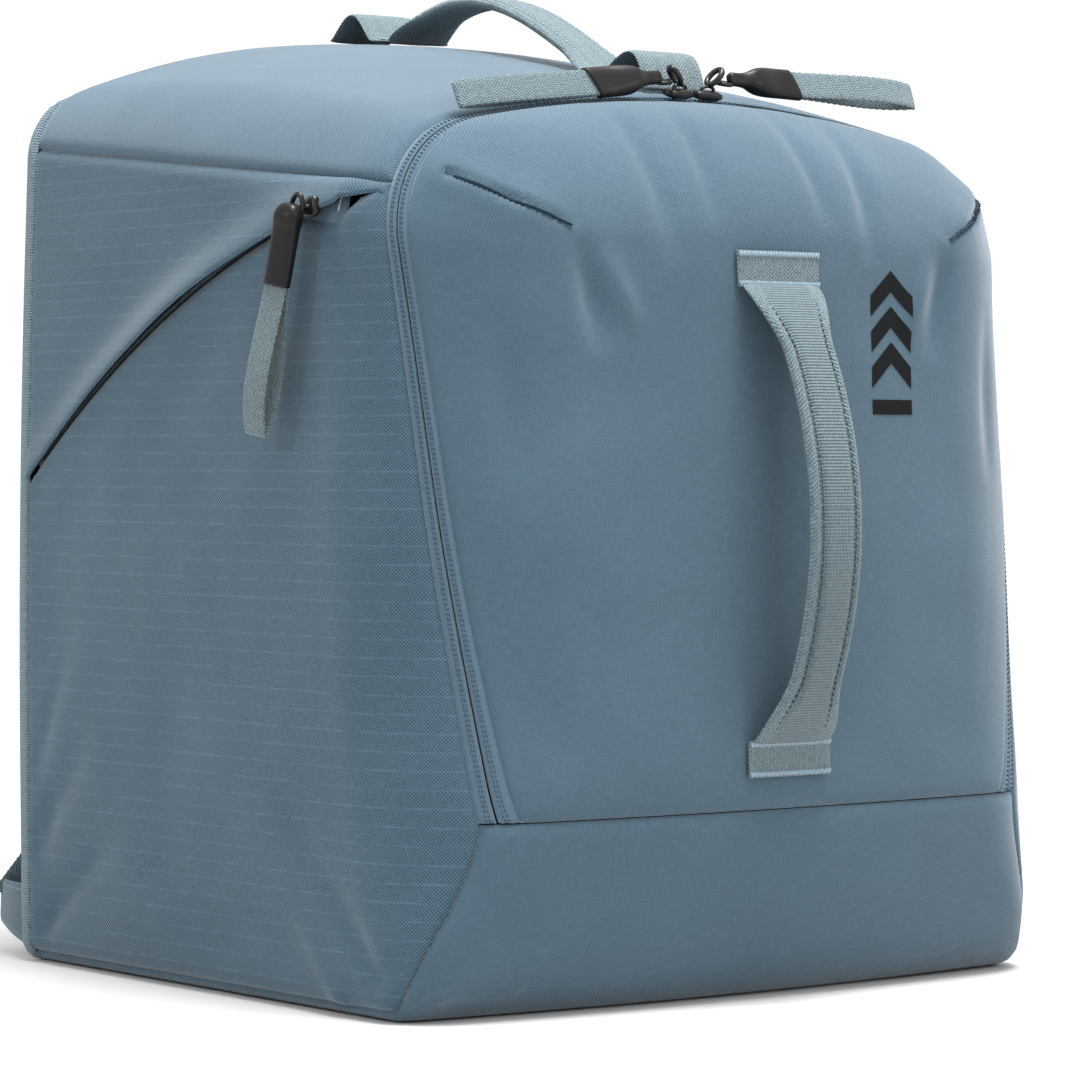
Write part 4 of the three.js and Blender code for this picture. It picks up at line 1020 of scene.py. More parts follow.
for body, node, side in (("root", "zip_tape_body", 1), ("flap", "zip_tape_flap", -1)):
    across = np.array([0.05, 0.10, 0.20, 0.42, 0.65, 0.88, 1.12])
    rise = np.array([-1.0, -0.35, 0, 0.12, 0.05, -0.15, -0.8]) * MM
    rows = np.array([tape_path(side * line, 0) for line in across])
    lift = np.broadcast_to((rise - TAPE_SINK)[:, None], rows.shape[:2])
    uv = np.stack(np.broadcast_arrays(across[:, None] * TAPE_HALF, lengths(rows[2])[None, :]), -1)
    tape = panel(node, rows, lift, uv, [tape_cloth, tape_cloth], 0.8 * MM)
    seam_rows = []
    for line in (0.36, 0.56):
        points, way = stations(tape_path(side * line, 0.3 * MM - TAPE_SINK), 2.3 * MM)
        seam_rows.append((points, way))
    seam = sewn(f"{node}_stitches", seam_rows, 1.3 * MM, 0.7 * MM, dull_thread)
    coil_points, coil_way = stations(tape_path(side * 0.22, -COIL_SINK), 1.6 * MM)
    cross = np.cross(coil_way, outward(coil_points))
    coil = sewn(f"{node}_coil", [(coil_points, cross)], 3.0 * MM, 1.1 * MM, dull_thread, 0.0)
    for piece in (tape, seam, coil):
        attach(piece, body)
    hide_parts(node)

# ---- webbing pieces ----------------------------------------------------------------------------------
# All handles and loops are herringbone webbing. It lies flat where it is tacked down, and the two grips
# are folded round a core and stitched along both folds.
HALF_FACE = [0.35, 0.54, 0.62, 0.7, 0.8, 0.9, 0.97, 1]
FACE = np.array([-x for x in HALF_FACE[::-1]] + [0] + HALF_FACE)


def ribbon(
    name, line, across, width, thick, material, groove=0.0, closed=False, frayed=0.25 * MM, inner=None
):
    """A length of webbing along a line; width, thick and groove may change along it."""
    line = np.asarray(line, float)
    count = len(line)
    width, thick, groove = (np.broadcast_to(value, count) for value in (width, thick, groove))
    if closed:
        way = np.roll(line, -1, 0) - np.roll(line, 1, 0)
    else:
        way = np.gradient(line, axis=0)
    way /= np.linalg.norm(way, axis=1, keepdims=True)
    side = np.broadcast_to(across, line.shape) - way * np.sum(way * across, 1, keepdims=True)
    side /= np.linalg.norm(side, axis=1, keepdims=True)
    out = np.cross(side, way)
    run = lengths(line)
    wave = 1 + frayed * np.sin(run * math.tau / (2.1 * MM)) / width * 2
    edge = np.sqrt(np.clip(1 - FACE**6, 0, 1))
    ring_x = np.concatenate([FACE, FACE[-2:0:-1]])
    shape = np.concatenate([edge, -edge[-2:0:-1]])
    dent = np.exp(-(((np.abs(ring_x) - 0.66) / 0.07) ** 2)) * (shape > 0)
    half = (width / 2 * wave)[:, None]
    rise = shape[None] * thick[:, None] / 2 - dent[None] * groove[:, None]
    points = line[:, None] + side[:, None] * (half * ring_x)[..., None] + out[:, None] * rise[..., None]
    ring = len(ring_x)
    faces = []
    for i in range(count if closed else count - 1):
        after = (i + 1) % count
        for j in range(ring):
            k = (j + 1) % ring
            faces.append((i * ring + j, i * ring + k, after * ring + k, after * ring + j))
    if not closed:
        faces.append(tuple(range(ring))[::-1])
        faces.append(tuple((count - 1) * ring + j for j in range(ring)))
    uv = np.stack(np.broadcast_arrays(ring_x[None] * (width / 2)[:, None], run[:, None]), -1)
    materials = [material, inner or material]
    thing = mesh_object(name, points.reshape(-1, 3), faces, materials, uv.reshape(-1, 2))
    for i, face in enumerate(thing.data.polygons[: count * ring if closed else (count - 1) * ring]):
        face.material_index = int(5 <= i % ring <= 10)
    return faced_out(thing), side, out


# The front grip's middle band is a ribbed weave. Its tone, a little darker than the webbing, is partly
# painted shade for the recess between the folds.
grip_band_and_shade = webbing("ribbed_band_painted_shade", colour_of(62, 78, 86), colour_of(100, 118, 124), 1.5 * MM, 0.0)
WEB = 2 * MM
AHEAD = np.array([1.0, 0, 0])
UPWARD = np.array([0, 0, 1.0])
handle_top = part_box("front_handle_top_patch")
handle_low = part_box("front_handle_bottom_patch")
HANDLE_WIDTH = handle_top[1].x - handle_top[0].x
GRIP_WIDTH = 30 * MM
GRIP_RISE = 35 * MM
FOLD_THICK = 2.2 * MM
SEAM_SHARE = 0.33
for node, ends in (("front_handle_top_patch", handle_top), ("front_handle_bottom_patch", handle_low)):
    z = np.linspace(ends[0].z, ends[1].z, 24)
    line = on_front(np.zeros(24), z)
    line = line + outward(line) * (1.9 * MM)
    patch, side, out = ribbon(node, line, AHEAD, HANDLE_WIDTH, WEB, web_cloth)
    rows = []
    face = line + out * np.sign(-out[:, 1:2]) * (WEB / 2 + 0.15 * MM)
    for share in (0.1, 0.9):
        seat = at_shares(face, [share])[0]
        x = np.linspace(-0.48, 0.48, 60) * HANDLE_WIDTH
        lean = np.where(np.arange(60) % 2, 0.28, -0.28)[:, None] * AHEAD
        rows.append((seat + x[:, None] * AHEAD, lean + UPWARD))
    tack = sewn(f"{node}_tack", rows, 3.2 * MM, 1.0 * MM, thread_material)
    for piece in (patch, tack):
        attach(piece, "flap")
    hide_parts(node)

grip_low, grip_high = handle_low[1].z - 1 * MM, handle_top[0].z + 1 * MM
grip_t = np.linspace(0, 1, 260)
grip_z = grip_low + (grip_high - grip_low) * grip_t
arch = np.sin(np.pi * grip_t) ** 0.72
grip_line = on_front(np.zeros(260), grip_z)
grip_line = grip_line + outward(grip_line) * (2.2 * MM + GRIP_RISE * arch)[:, None]
from_end = np.minimum(grip_t, 1 - grip_t) / 0.5
closing = eased(from_end / 0.30)
grip_width = HANDLE_WIDTH - 3 * MM + (GRIP_WIDTH - HANDLE_WIDTH + 3 * MM) * closing
grip_thick = FOLD_THICK + 4.4 * MM * closing
middle = 130
for part, cut in (("low", slice(0, middle + 1)), ("high", slice(middle, 260))):
    # The middle of the grip's face takes the ribbed band, whose darker tone is partly painted shade.
    piece, side, out = ribbon(
        f"front_handle_grip_{part}", grip_line[cut], AHEAD, grip_width[cut], grip_thick[cut], web_cloth,
        2.3 * MM * closing[cut], inner=grip_band_and_shade,
    )
    rows = []
    for k in (-1, 1):
        seam = grip_line[cut] + side * (k * SEAM_SHARE * grip_width[cut])[:, None]
        rise = grip_thick[cut] / 2 - 0.5 * MM * closing[cut]
        seam = seam - np.abs(out) * np.array([0, 1, 0]) * rise[:, None]
        rows.append(stations(seam, 3.0 * MM))
    seam = sewn(f"front_handle_grip_{part}_stitches", rows, 2.2 * MM, 0.9 * MM, dull_thread)
    for thing in (piece, seam):
        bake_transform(thing)
    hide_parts("front_handle_grip")

# ---- painted shade along the darts -------------------------------------------------------------------
# Each dart is sewn shut from inside. A tight dark strip of painted shade stands in for the shadow in its
# groove, from the zip to where the dart ends. The strip lies on the flap's finished face and thins out
# along its way.
for k, name in ((-1, "left"), (1, "right")):
    path = at_shares(np.array([printed(k * x, z) for x, z in DART_SEAM]), np.linspace(0, 1, 60))
    path = np.array([printed(x, z) for x, _, z in path])
    fading = 0.35 + 0.65 * np.sqrt(np.linspace(1, 0, 60))
    dart_shadow_strip, _, _ = ribbon(
        f"{name}_dart_shadow_strip", path, UPWARD, 1.5 * MM * fading, 2.8 * MM, seam_shadow, frayed=0
    )
    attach(dart_shadow_strip, "flap")

# ---- haul handle -------------------------------------------------------------------------------------
# One length of webbing runs along the crown. A loop stands at each end, both tacked with thick thread, and
# the long middle is folded in two and arches over the top as the carrying handle.
back_loop, back_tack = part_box("haul_back_loop"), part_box("haul_back_tack")
front_loop, front_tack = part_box("haul_front_loop"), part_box("haul_front_tack")
HAUL_WIDTH = back_tack[1].x - back_tack[0].x
SEAT = 1.5 * MM


def along_top(first, last, count, rise):
    y = np.linspace(first, last, count)
    line = on_top(np.zeros(count), y)
    return line + outward(line) * (SEAT + rise(np.linspace(0, 1, count)))[:, None]


for name, box, peak, lean in (
    ("haul_back_loop", back_loop, 13 * MM, 1.0),
    ("haul_front_loop", front_loop, 15 * MM, 0.8),
):
    line = along_top(box[0].y, box[1].y, 60, lambda t: peak * np.sin(np.pi * t**lean) ** 1.3)
    loop, side, out = ribbon(name, line, AHEAD, HAUL_WIDTH, WEB, web_cloth)
    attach(loop, "root")
    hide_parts(name)
for name, box in (("haul_back_tack", back_tack), ("haul_front_tack", front_tack)):
    line = along_top(box[0].y, box[1].y, 24, lambda t: 0 * t)
    strip, side, out = ribbon(name, line, AHEAD, HAUL_WIDTH, WEB, web_cloth)
    rows = []
    for share in (0.2, 0.5, 0.8) if "front" in name else (0.5,):
        seat = at_shares(line + out * np.sign(out[:, 2:3]) * (WEB / 2 + 0.2 * MM), [share])[0]
        x = np.linspace(-0.47, 0.47, 44) * HAUL_WIDTH
        rows.append((seat + x[:, None] * AHEAD, np.broadcast_to([0, 1.0, 0.1], (44, 3))))
    bars = sewn(f"{name}_bars", rows, 3.2 * MM, 1.1 * MM, thread_material)
    for piece in (strip, bars):
        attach(piece, "root")
    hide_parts(name)

HAUL_RISE = 23 * MM
HAUL_GRIP_WIDTH = 27 * MM
haul_t = np.linspace(0, 1, 240)
haul_y = front_tack[1].y - 1 * MM + (back_tack[0].y - front_tack[1].y + 2 * MM) * haul_t
haul_line = on_top(np.zeros(240), haul_y)
haul_arch = np.sin(np.pi * haul_t**1.35) ** 0.75
haul_line = haul_line + outward(haul_line) * (SEAT + HAUL_RISE * haul_arch)[:, None]
closing = eased(np.minimum(haul_t, 1 - haul_t) / 0.16)
haul_width = HAUL_WIDTH + (HAUL_GRIP_WIDTH - HAUL_WIDTH) * closing
haul_thick = FOLD_THICK + 3.8 * MM * closing
middle = 120
for part, cut in (("front", slice(0, middle + 1)), ("back", slice(middle, 240))):
    piece, side, out = ribbon(
        f"haul_grip_{part}", haul_line[cut], AHEAD, haul_width[cut], haul_thick[cut], web_cloth,
        0.7 * MM * closing[cut],
    )
    up = out * np.sign(out[:, 2:3])
    rows = []
    for k in (-1, 1):
        seam = haul_line[cut] + side * (k * SEAM_SHARE * haul_width[cut])[:, None]
        rise = haul_thick[cut] / 2 - 0.4 * MM * closing[cut]
        rows.append(stations(seam + up * rise[:, None], 3.0 * MM))
    seam = sewn(f"haul_grip_{part}_stitches", rows, 2.2 * MM, 0.7 * MM, thread_material)
    for thing in (piece, seam):
        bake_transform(thing)
    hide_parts("haul_grip")

# ---- sliders and pulls -------------------------------------------------------------------------------
# Black die-cast sliders, each with an upright oval ring. A soft moulded grip hangs from the ring and is
# shut over a loop of narrow webbing.
moulded_black = speckled(
    "moulded_black", 0.38, 0.25, 900, colour_of(10, 8, 9), colour_of(20, 17, 18), 0.06 * MM
)
slider_black = speckled("slider_black", 0.3, 0.35, 500, colour_of(12, 12, 13), colour_of(24, 23, 24))


def lofted(name, centres, sides, outs, halves, heights, material, power=0.62, cut=0.0):
    """A rounded bar through stations, each with a half width and a half thickness."""
    sides, outs = (np.broadcast_to(value, (len(centres), 3)) for value in (sides, outs))
    turn = np.linspace(0, math.tau, 25)[:-1]
    x = np.sign(np.cos(turn)) * np.abs(np.cos(turn)) ** power
    y = np.sign(np.sin(turn)) * np.abs(np.sin(turn)) ** power
    ring = len(turn)
    points, faces = [], []
    count = len(centres)
    way = np.gradient(np.asarray(centres), axis=0)
    way /= np.linalg.norm(way, axis=1, keepdims=True)
    slant = cut * np.linspace(0, 1, count) ** 3
    for i in range(count):
        for a, b in zip(x, y):
            points.append(
                centres[i] + sides[i] * (a * halves[i]) + outs[i] * (b * heights[i])
                + way[i] * (slant[i] * a * halves[i])
            )
    for i in range(count - 1):
        for j in range(ring):
            k = (j + 1) % ring
            faces.append((i * ring + j, i * ring + k, (i + 1) * ring + k, (i + 1) * ring + j))
    faces.append(tuple(range(ring))[::-1])
    faces.append(tuple((count - 1) * ring + j for j in range(ring)))
    return faced_out(mesh_object(name, points, faces, [material]), np.mean(points, 0))


def hoop(name, centre, long, wide, length, width, wire, material):
    """An oval ring of round wire in the plane of two directions."""
    around, about = 40, 10
    points, faces = [], []
    normal = np.cross(long, wide)
    for i in range(around):
        a = math.tau * i / around
        c, s = math.cos(a), math.sin(a)
        middle = centre + long * (c * (length - wire) / 2) + wide * (s * (width - wire) / 2)
        outer = long * c * width + wide * s * length
        outer = outer / np.linalg.norm(outer)
        for j in range(about):
            b = math.tau * j / about
            points.append(middle + (outer * math.cos(b) + normal * math.sin(b)) * wire / 2)
    for i in range(around):
        for j in range(about):
            n, k = (i + 1) % around, (j + 1) % about
            faces.append((i * about + j, n * about + j, n * about + k, i * about + k))
    return faced_out(mesh_object(name, points, faces, [material]), centre)


def unit(v):
    v = np.asarray(v, float)
    return v / np.linalg.norm(v)


def centre_of(node):
    low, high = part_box(node)
    return np.array((low + high) / 2)


# Half width and half thickness along a grip, from the ring to the webbing.
GRIP_HALVES = [(0, 3.3 * MM), (0.22, 3.6 * MM), (0.42, 6.4 * MM), (0.6, 7.4 * MM), (1, 7.7 * MM)]
GRIP_HEIGHTS = [
    (0, 2.2 * MM), (0.2, 2.5 * MM), (0.36, 4.6 * MM), (0.5, 4.4 * MM), (0.75, 2.9 * MM), (1, 2.9 * MM)
]
# The pockets' grips have a ball-like shoulder at the ring instead of a neck.
SHOULDER_HALVES = [(0, 4.2 * MM), (0.12, 6.6 * MM), (0.3, 7.0 * MM), (1, 7.2 * MM)]
SHOULDER_HEIGHTS = [(0, 3.0 * MM), (0.14, 5.2 * MM), (0.34, 3.6 * MM), (1, 3.0 * MM)]


def pull_set(node, body, start, end, loop_end, across, out, cut, open_gap, shape):
    """A moulded grip from start to end and a webbing loop from there to loop_end."""
    t = np.linspace(0, 1, 34)
    centres = start + (end - start) * t[:, None]
    halves, heights = through(shape[0], t), through(shape[1], t)
    halves[0] *= 0.75
    heights[0] *= 0.7
    grip = lofted(f"{node}_pull", centres, across, out, halves, heights, moulded_black, 0.62, cut)
    way = unit(end - start)
    go = np.linspace(0, 1, 60)
    gape = 0.7 * MM + open_gap * np.sin(np.pi * go**1.6) ** 0.8 * go**0.3
    upper = end - way * (6 * MM) + (loop_end - end + way * 6 * MM) * go[:, None]
    radius = max(gape[-1], 1.6 * MM)
    there = upper + out * gape[:, None]
    back_run = (upper - out * gape[:, None])[::-1]
    bend = np.linspace(math.pi / 2, -math.pi / 2, 12)[1:-1]
    turnround = loop_end + way * radius * np.cos(bend)[:, None] + out * (gape[-1] * np.sin(bend))[:, None]
    start_bend = np.linspace(-math.pi / 2, -3 * math.pi / 2, 8)[1:-1]
    first = end - way * (6 * MM)
    turnback = first + way * 0.7 * MM * np.cos(start_bend)[:, None]
    turnback = turnback + out * (gape[0] * np.sin(start_bend))[:, None]
    line = np.concatenate([there, turnround, back_run, turnback])
    loop, _, _ = ribbon(
        f"{node}_pull_loop", line, across, 13.6 * MM, 1.4 * MM, web_cloth, 0.0, closed=True
    )
    for piece, cad, slot in (
        (grip, f"{node}_pull", "moulded_black"),
        (loop, f"{node}_pull_loop", "webbing"),
    ):
        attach(piece, body)
        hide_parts(cad)


PULL_TURN = math.radians(66)
POCKET_PULL_TURN = math.radians(14)
for side, name in ((-1, "left"), (1, "right")):
    slider_low, slider_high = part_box(f"{name}_slider")
    foot_y = (slider_low.y + slider_high.y) / 2
    foot = on_top(side * 8.5 * MM, foot_y)
    out = outward(foot)
    level = unit(on_top(side * 9.5 * MM, foot_y) - foot)
    across = unit(np.cross(level, out))
    t = np.linspace(0, 1, 14)
    centres = foot + out * 2.6 * MM + level * ((t[:, None] - 0.5) * 14 * MM)
    halves = through([(0, 2.6 * MM), (0.3, 3.4 * MM), (0.75, 4.8 * MM), (1, 3.8 * MM)], t)
    heights = through([(0, 1.6 * MM), (0.2, 2.3 * MM), (0.8, 2.3 * MM), (1, 1.5 * MM)], t)
    body = lofted(f"{name}_slider", centres, across, out, halves, heights, slider_black)
    bail = hoop(
        f"{name}_slider_bail", foot + out * 5.2 * MM, level, out, 9 * MM, 5 * MM, 1.7 * MM, slider_black
    )
    for piece in (body, bail):
        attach(piece, f"{name}_main_slider")
    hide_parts(f"{name}_slider")
    link = centre_of(f"{name}_link")
    along = unit(centre_of(f"{name}_pull_loop") - centre_of(f"{name}_pull"))
    stand = unit(along * 0.62 + out * 0.80)
    ahead = unit(np.array([0, -1.0, 0]) + along * along[1])
    facing = unit(out * math.cos(PULL_TURN) + ahead * math.sin(PULL_TURN))
    upright = unit(np.cross(along, facing))
    ring = hoop(
        f"{name}_link", link - along * 3.0 * MM + out * 2.6 * MM, stand, across,
        12.5 * MM, 9.5 * MM, 2.9 * MM, slider_black,
    )
    second = hoop(
        f"{name}_link_lower", link + along * 3.6 * MM, along, across,
        10 * MM, 8 * MM, 2.2 * MM, slider_black,
    )
    for piece in (ring, second):
        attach(piece, f"{name}_main_pull")
    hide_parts(f"{name}_link")
    start = link + along * 6 * MM + out * 2.4 * MM
    end = start + along * 41 * MM
    loop_end = end + along * (76 * MM)
    pull_set(
        name, f"{name}_main_pull", start, end, loop_end, upright, facing, 0.35,
        1.6 * MM if side < 0 else 3.6 * MM, (GRIP_HALVES, GRIP_HEIGHTS),
    )

    face = centre_of(f"{name}_pocket_slider")
    slot_line = pocket_line(side, 0)
    along_slot = unit(slot_line[16] - slot_line[4])
    sideways = np.array([side, 0, 0.0])
    over = unit(np.cross(sideways, along_slot))
    centres = face + along_slot * ((t[:, None] - 0.5) * 14 * MM)
    body = lofted(f"{name}_pocket_slider", centres, over, sideways, halves[::-1], heights, slider_black)
    bail = hoop(
        f"{name}_pocket_slider_bail", face + sideways * 2.6 * MM, along_slot, sideways,
        9 * MM, 5 * MM, 1.7 * MM, slider_black,
    )
    for piece in (body, bail):
        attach(piece, f"{name}_side_slider")
    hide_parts(f"{name}_pocket_slider")
    hang = unit(centre_of(f"{name}_pocket_pull_loop") - centre_of(f"{name}_pocket_pull"))
    ahead = unit(np.array([0, -1.0, 0]) + hang * hang[1])
    facing = unit(sideways * math.cos(POCKET_PULL_TURN) + ahead * math.sin(POCKET_PULL_TURN))
    level = unit(np.cross(hang, facing))
    link = centre_of(f"{name}_pocket_link")
    ring = hoop(f"{name}_pocket_link", link, hang, level, 14 * MM, 9 * MM, 2.4 * MM, slider_black)
    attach(ring, f"{name}_side_pull")
    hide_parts(f"{name}_pocket_link")
    start = link - hang * 1.5 * MM + sideways * 3.6 * MM
    end = start + hang * 38 * MM + sideways * 1.5 * MM
    pull_set(
        f"{name}_pocket", f"{name}_side_pull", start, end, end + hang * 68 * MM, level, facing, 0.0,
        5.0 * MM, (SHOULDER_HALVES, SHOULDER_HEIGHTS),
    )

# ---- pocket zips and pouches -------------------------------------------------------------------------
# A narrow coil zip lies under each slanting lip, with a bar of stitches across its front end. Its pouch of
# thin lining hangs behind the side panel.
POUCH_DROP = 0.185
TAPE_LINES = np.array([-8, -4, -0.5, 0.5, 4]) * MM
for side, name in ((-1, "left"), (1, "right")):
    rows = np.array([pocket_line(side, offset, -0.01, 1.01) for offset in TAPE_LINES])
    lift = np.full(rows.shape[:2], -3.4 * MM)
    uv = np.stack(np.broadcast_arrays(TAPE_LINES[:, None], lengths(rows[2])[None, :]), -1)
    tape = panel(f"{name}_pocket_tape", rows, lift, uv, [tape_cloth, tape_cloth], 0.7 * MM)
    middle_line = pocket_line(side, 0, 0.12, 0.99)
    middle_line = middle_line - outward(middle_line) * 3.1 * MM
    points, way = stations(middle_line, 1.5 * MM)
    turns = [(points, np.cross(way, outward(points)))]
    coil = sewn(f"{name}_pocket_coil", turns, 4.4 * MM, 1.0 * MM, dull_thread, 0.0)
    for piece in (tape, coil):
        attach(piece, "root")
    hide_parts(f"{name}_pocket_tape")
    bar_y = POCKET_FRONT[0] - 1.5 * MM
    bar_ends = (bar_y, POCKET_FRONT[1] + 7 * MM), (bar_y, POCKET_FRONT[1] - 5 * MM)
    end_line = side_line(side, *bar_ends, 12)
    end_line = end_line + outward(end_line) * 0.6 * MM
    bar = sewn(f"{name}_pocket_tack", [stations(end_line, 1.5 * MM)], 1.6 * MM, 0.9 * MM, thread_material)
    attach(bar, "root")
    # The pouch is one sheet of lining, hung from the zip's tape inside the side panel.
    low_z = POCKET_FRONT[1] - POUCH_DROP
    sink = -(WALL + 1.2 * MM)
    pouch_top = pocket_line(side, -5 * MM, 0.03, 0.93)
    pouch_low = side_line(side, (pouch_top[0][1], low_z), (pouch_top[-1][1], low_z), 80)
    pouch_front = side_line(side, (pouch_top[0][1], low_z), (pouch_top[0][1], pouch_top[0][2]), 60)
    pouch_back = side_line(side, (pouch_top[-1][1], low_z), (pouch_top[-1][1], pouch_top[-1][2]), 60)
    grid = spread(pouch_low, pouch_top, pouch_front, pouch_back, 6 * MM)
    lift = np.full(grid.shape[:2], sink) - np.abs(ripples(grid, 0.05, 0.8 * MM, 31 + side))
    pouch = panel(f"{name}_pocket_pouch", grid, lift, side_uv(grid), [lining, lining], 0.6 * MM)
    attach(pouch, "root")
    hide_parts(f"{name}_pocket_pouch")

# ---- stiffeners --------------------------------------------------------------------------------------
# A board in the floor and a sheet behind the back, both of black polypropylene with a fine grain. Both keep
# the CAD's own shape, as the ladder locks do, and only take a material.
board_black = speckled(
    "board_black", 0.55, 0.4, 700, colour_of(36, 39, 42), colour_of(62, 66, 70), 0.1 * MM
)
for node in ("base_board", "back_frame_sheet"):
    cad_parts[node].data.materials.clear()
    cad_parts[node].data.materials.append(board_black)

# ---- back pads ---------------------------------------------------------------------------------------
# Two foam pads under spacer mesh, sewn to the back panel in three cells each. They start as boxes with
# rounded corners, are blown up, and are then drawn in along the two seams.
air_mesh, air_tree, air_shader = blank_material("air_mesh", 0.9, 0.2)
air_place = node_of(air_tree, "ShaderNodeTexCoord")
air_cells = node_of(air_tree, "ShaderNodeTexVoronoi", feature="F1")
air_cells.inputs["Scale"].default_value = 340
air_cells.inputs["Randomness"].default_value = 0.12
air_face = node_of(air_tree, "ShaderNodeMapping")
air_face.inputs["Scale"].default_value = (1, 0, 0.8)
air_tree.links.new(air_place.outputs["Object"], air_face.inputs["Vector"])
air_tree.links.new(air_face.outputs[0], air_cells.inputs["Vector"])
air_holes = ramped(air_tree, air_cells.outputs["Distance"], 0.2, 0.5)
air_colour = mixed(air_tree, air_holes, colour_of(26, 33, 38), colour_of(78, 92, 102))
air_tree.links.new(air_colour, air_shader.inputs["Base Color"])
embossed(air_tree, air_shader, air_holes, 0.5 * MM)


def puffed(thing, voxel, pressure, cap):
    """Foam under cloth: the piece is remeshed and blown up a little by Blender's cloth solver."""
    skin = thing.modifiers.new("skin", "REMESH")
    skin.mode = "VOXEL"
    skin.voxel_size = voxel
    applied(thing)
    thing.data.shade_smooth()
    start = np.array([v.co for v in thing.data.vertices])
    cloth = thing.modifiers.new("cloth", "CLOTH")
    cloth.settings.use_pressure = True
    cloth.settings.uniform_pressure_force = pressure
    cloth.settings.effector_weights.gravity = 0
    cloth.settings.tension_stiffness = 30
    cloth.settings.compression_stiffness = 30
    cloth.point_cache.frame_end = 20
    for frame_number in range(1, 21):
        scene.frame_set(frame_number)
    shown = thing.evaluated_get(bpy.context.evaluated_depsgraph_get())
    end = np.array([v.co for v in shown.data.vertices])
    scene.frame_set(1)
    thing.modifiers.clear()
    move = end - start
    size = np.linalg.norm(move, axis=1, keepdims=True)
    move *= np.minimum(1, cap / np.maximum(size, 1e-9))
    thing.data.vertices.foreach_set("co", (start + move).astype(np.float32).ravel())
    thing.data.update()
    return thing


def smoothed(thing):
    """The same object with every face divided once more."""
    finer = thing.modifiers.new("finer", "SUBSURF")
    finer.levels = finer.render_levels = 1
    applied(thing)
    thing.data.shade_smooth()


for name in ("left", "right"):
    low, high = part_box(f"{name}_back_pad")
    size, centre = (high - low), (high + low) / 2
    turn = np.linspace(0, math.tau, 61)[:-1]
    bow = np.sign(np.cos(turn)) * np.abs(np.cos(turn)) ** 0.35
    rise = np.sign(np.sin(turn)) * np.abs(np.sin(turn)) ** 0.35
    slices = [(-0.42, 0.93), (-0.2, 0.99), (0.1, 0.99), (0.36, 0.9)]
    rings = []
    for depth, share in slices:
        rings.append(np.stack([
            centre.x + bow * share * size.x / 2, np.full(60, centre.y + depth * size.y),
            centre.z + rise * share * size.z / 2 * (1 - (1 - share) * 0.3),
        ], -1))
    points = np.concatenate(rings)
    faces = [
        (i * 60 + j, (i + 1) * 60 + j, (i + 1) * 60 + (j + 1) % 60, i * 60 + (j + 1) % 60)
        for i in range(3) for j in range(60)
    ]
    faces += [tuple(range(60)), tuple(range(180, 240))[::-1]]
    pad = mesh_object(f"{name}_back_pad", points, faces, [air_mesh])
    puffed(pad, 5 * MM, 3, 4 * MM)
    shape = np.array([v.co for v in pad.data.vertices])
    outer = shape[:, 1] > centre.y
    for share in (1 / 3, 2 / 3):
        line = low.z + size.z * share
        shape[:, 1] -= np.where(outer, 4.2 * MM * np.exp(-(((shape[:, 2] - line) / (4 * MM)) ** 2)), 0)
    shape[:, 1] = np.clip(shape[:, 1], BACK_Y + 0.5 * MM, high.y + 1.3 * MM)
    pad.data.vertices.foreach_set("co", shape.astype(np.float32).ravel())
    smoothed(pad)
    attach(pad, "root")
    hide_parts(f"{name}_back_pad")

# ---- shoulder straps ---------------------------------------------------------------------------------
# Curved foam straps in spacer mesh with bound edges, sewn under a canvas yoke. A web runs down each and
# ends in a ladder lock, which takes up the adjusting web from a wing in the bottom corner seam.
yoke_low, yoke_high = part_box("harness_yoke")
yoke_z = np.linspace(yoke_low.z, yoke_high.z, 20)
yoke_line = np.stack([0 * yoke_z, np.full(20, (yoke_low.y + yoke_high.y) / 2), yoke_z], -1)
yoke_wide, yoke_thick = yoke_high.x - yoke_low.x, yoke_high.y - yoke_low.y
yoke, _, _ = ribbon("harness_yoke", yoke_line, AHEAD, yoke_wide, yoke_thick, shell_cloth, frayed=0)
rows = []
for z in (yoke_low.z + 3 * MM, yoke_high.z - 3 * MM):
    x = np.linspace(yoke_low.x * 0.95, yoke_high.x * 0.95, 70)
    rows.append((np.stack([x, np.full(70, yoke_high.y + 0.1 * MM), np.full(70, z)], -1), AHEAD))
yoke_seams = sewn("harness_yoke_stitches", rows, 2.1 * MM, 0.7 * MM, thread_material)
for piece in (yoke, yoke_seams):
    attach(piece, "root")
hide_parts("harness_yoke")

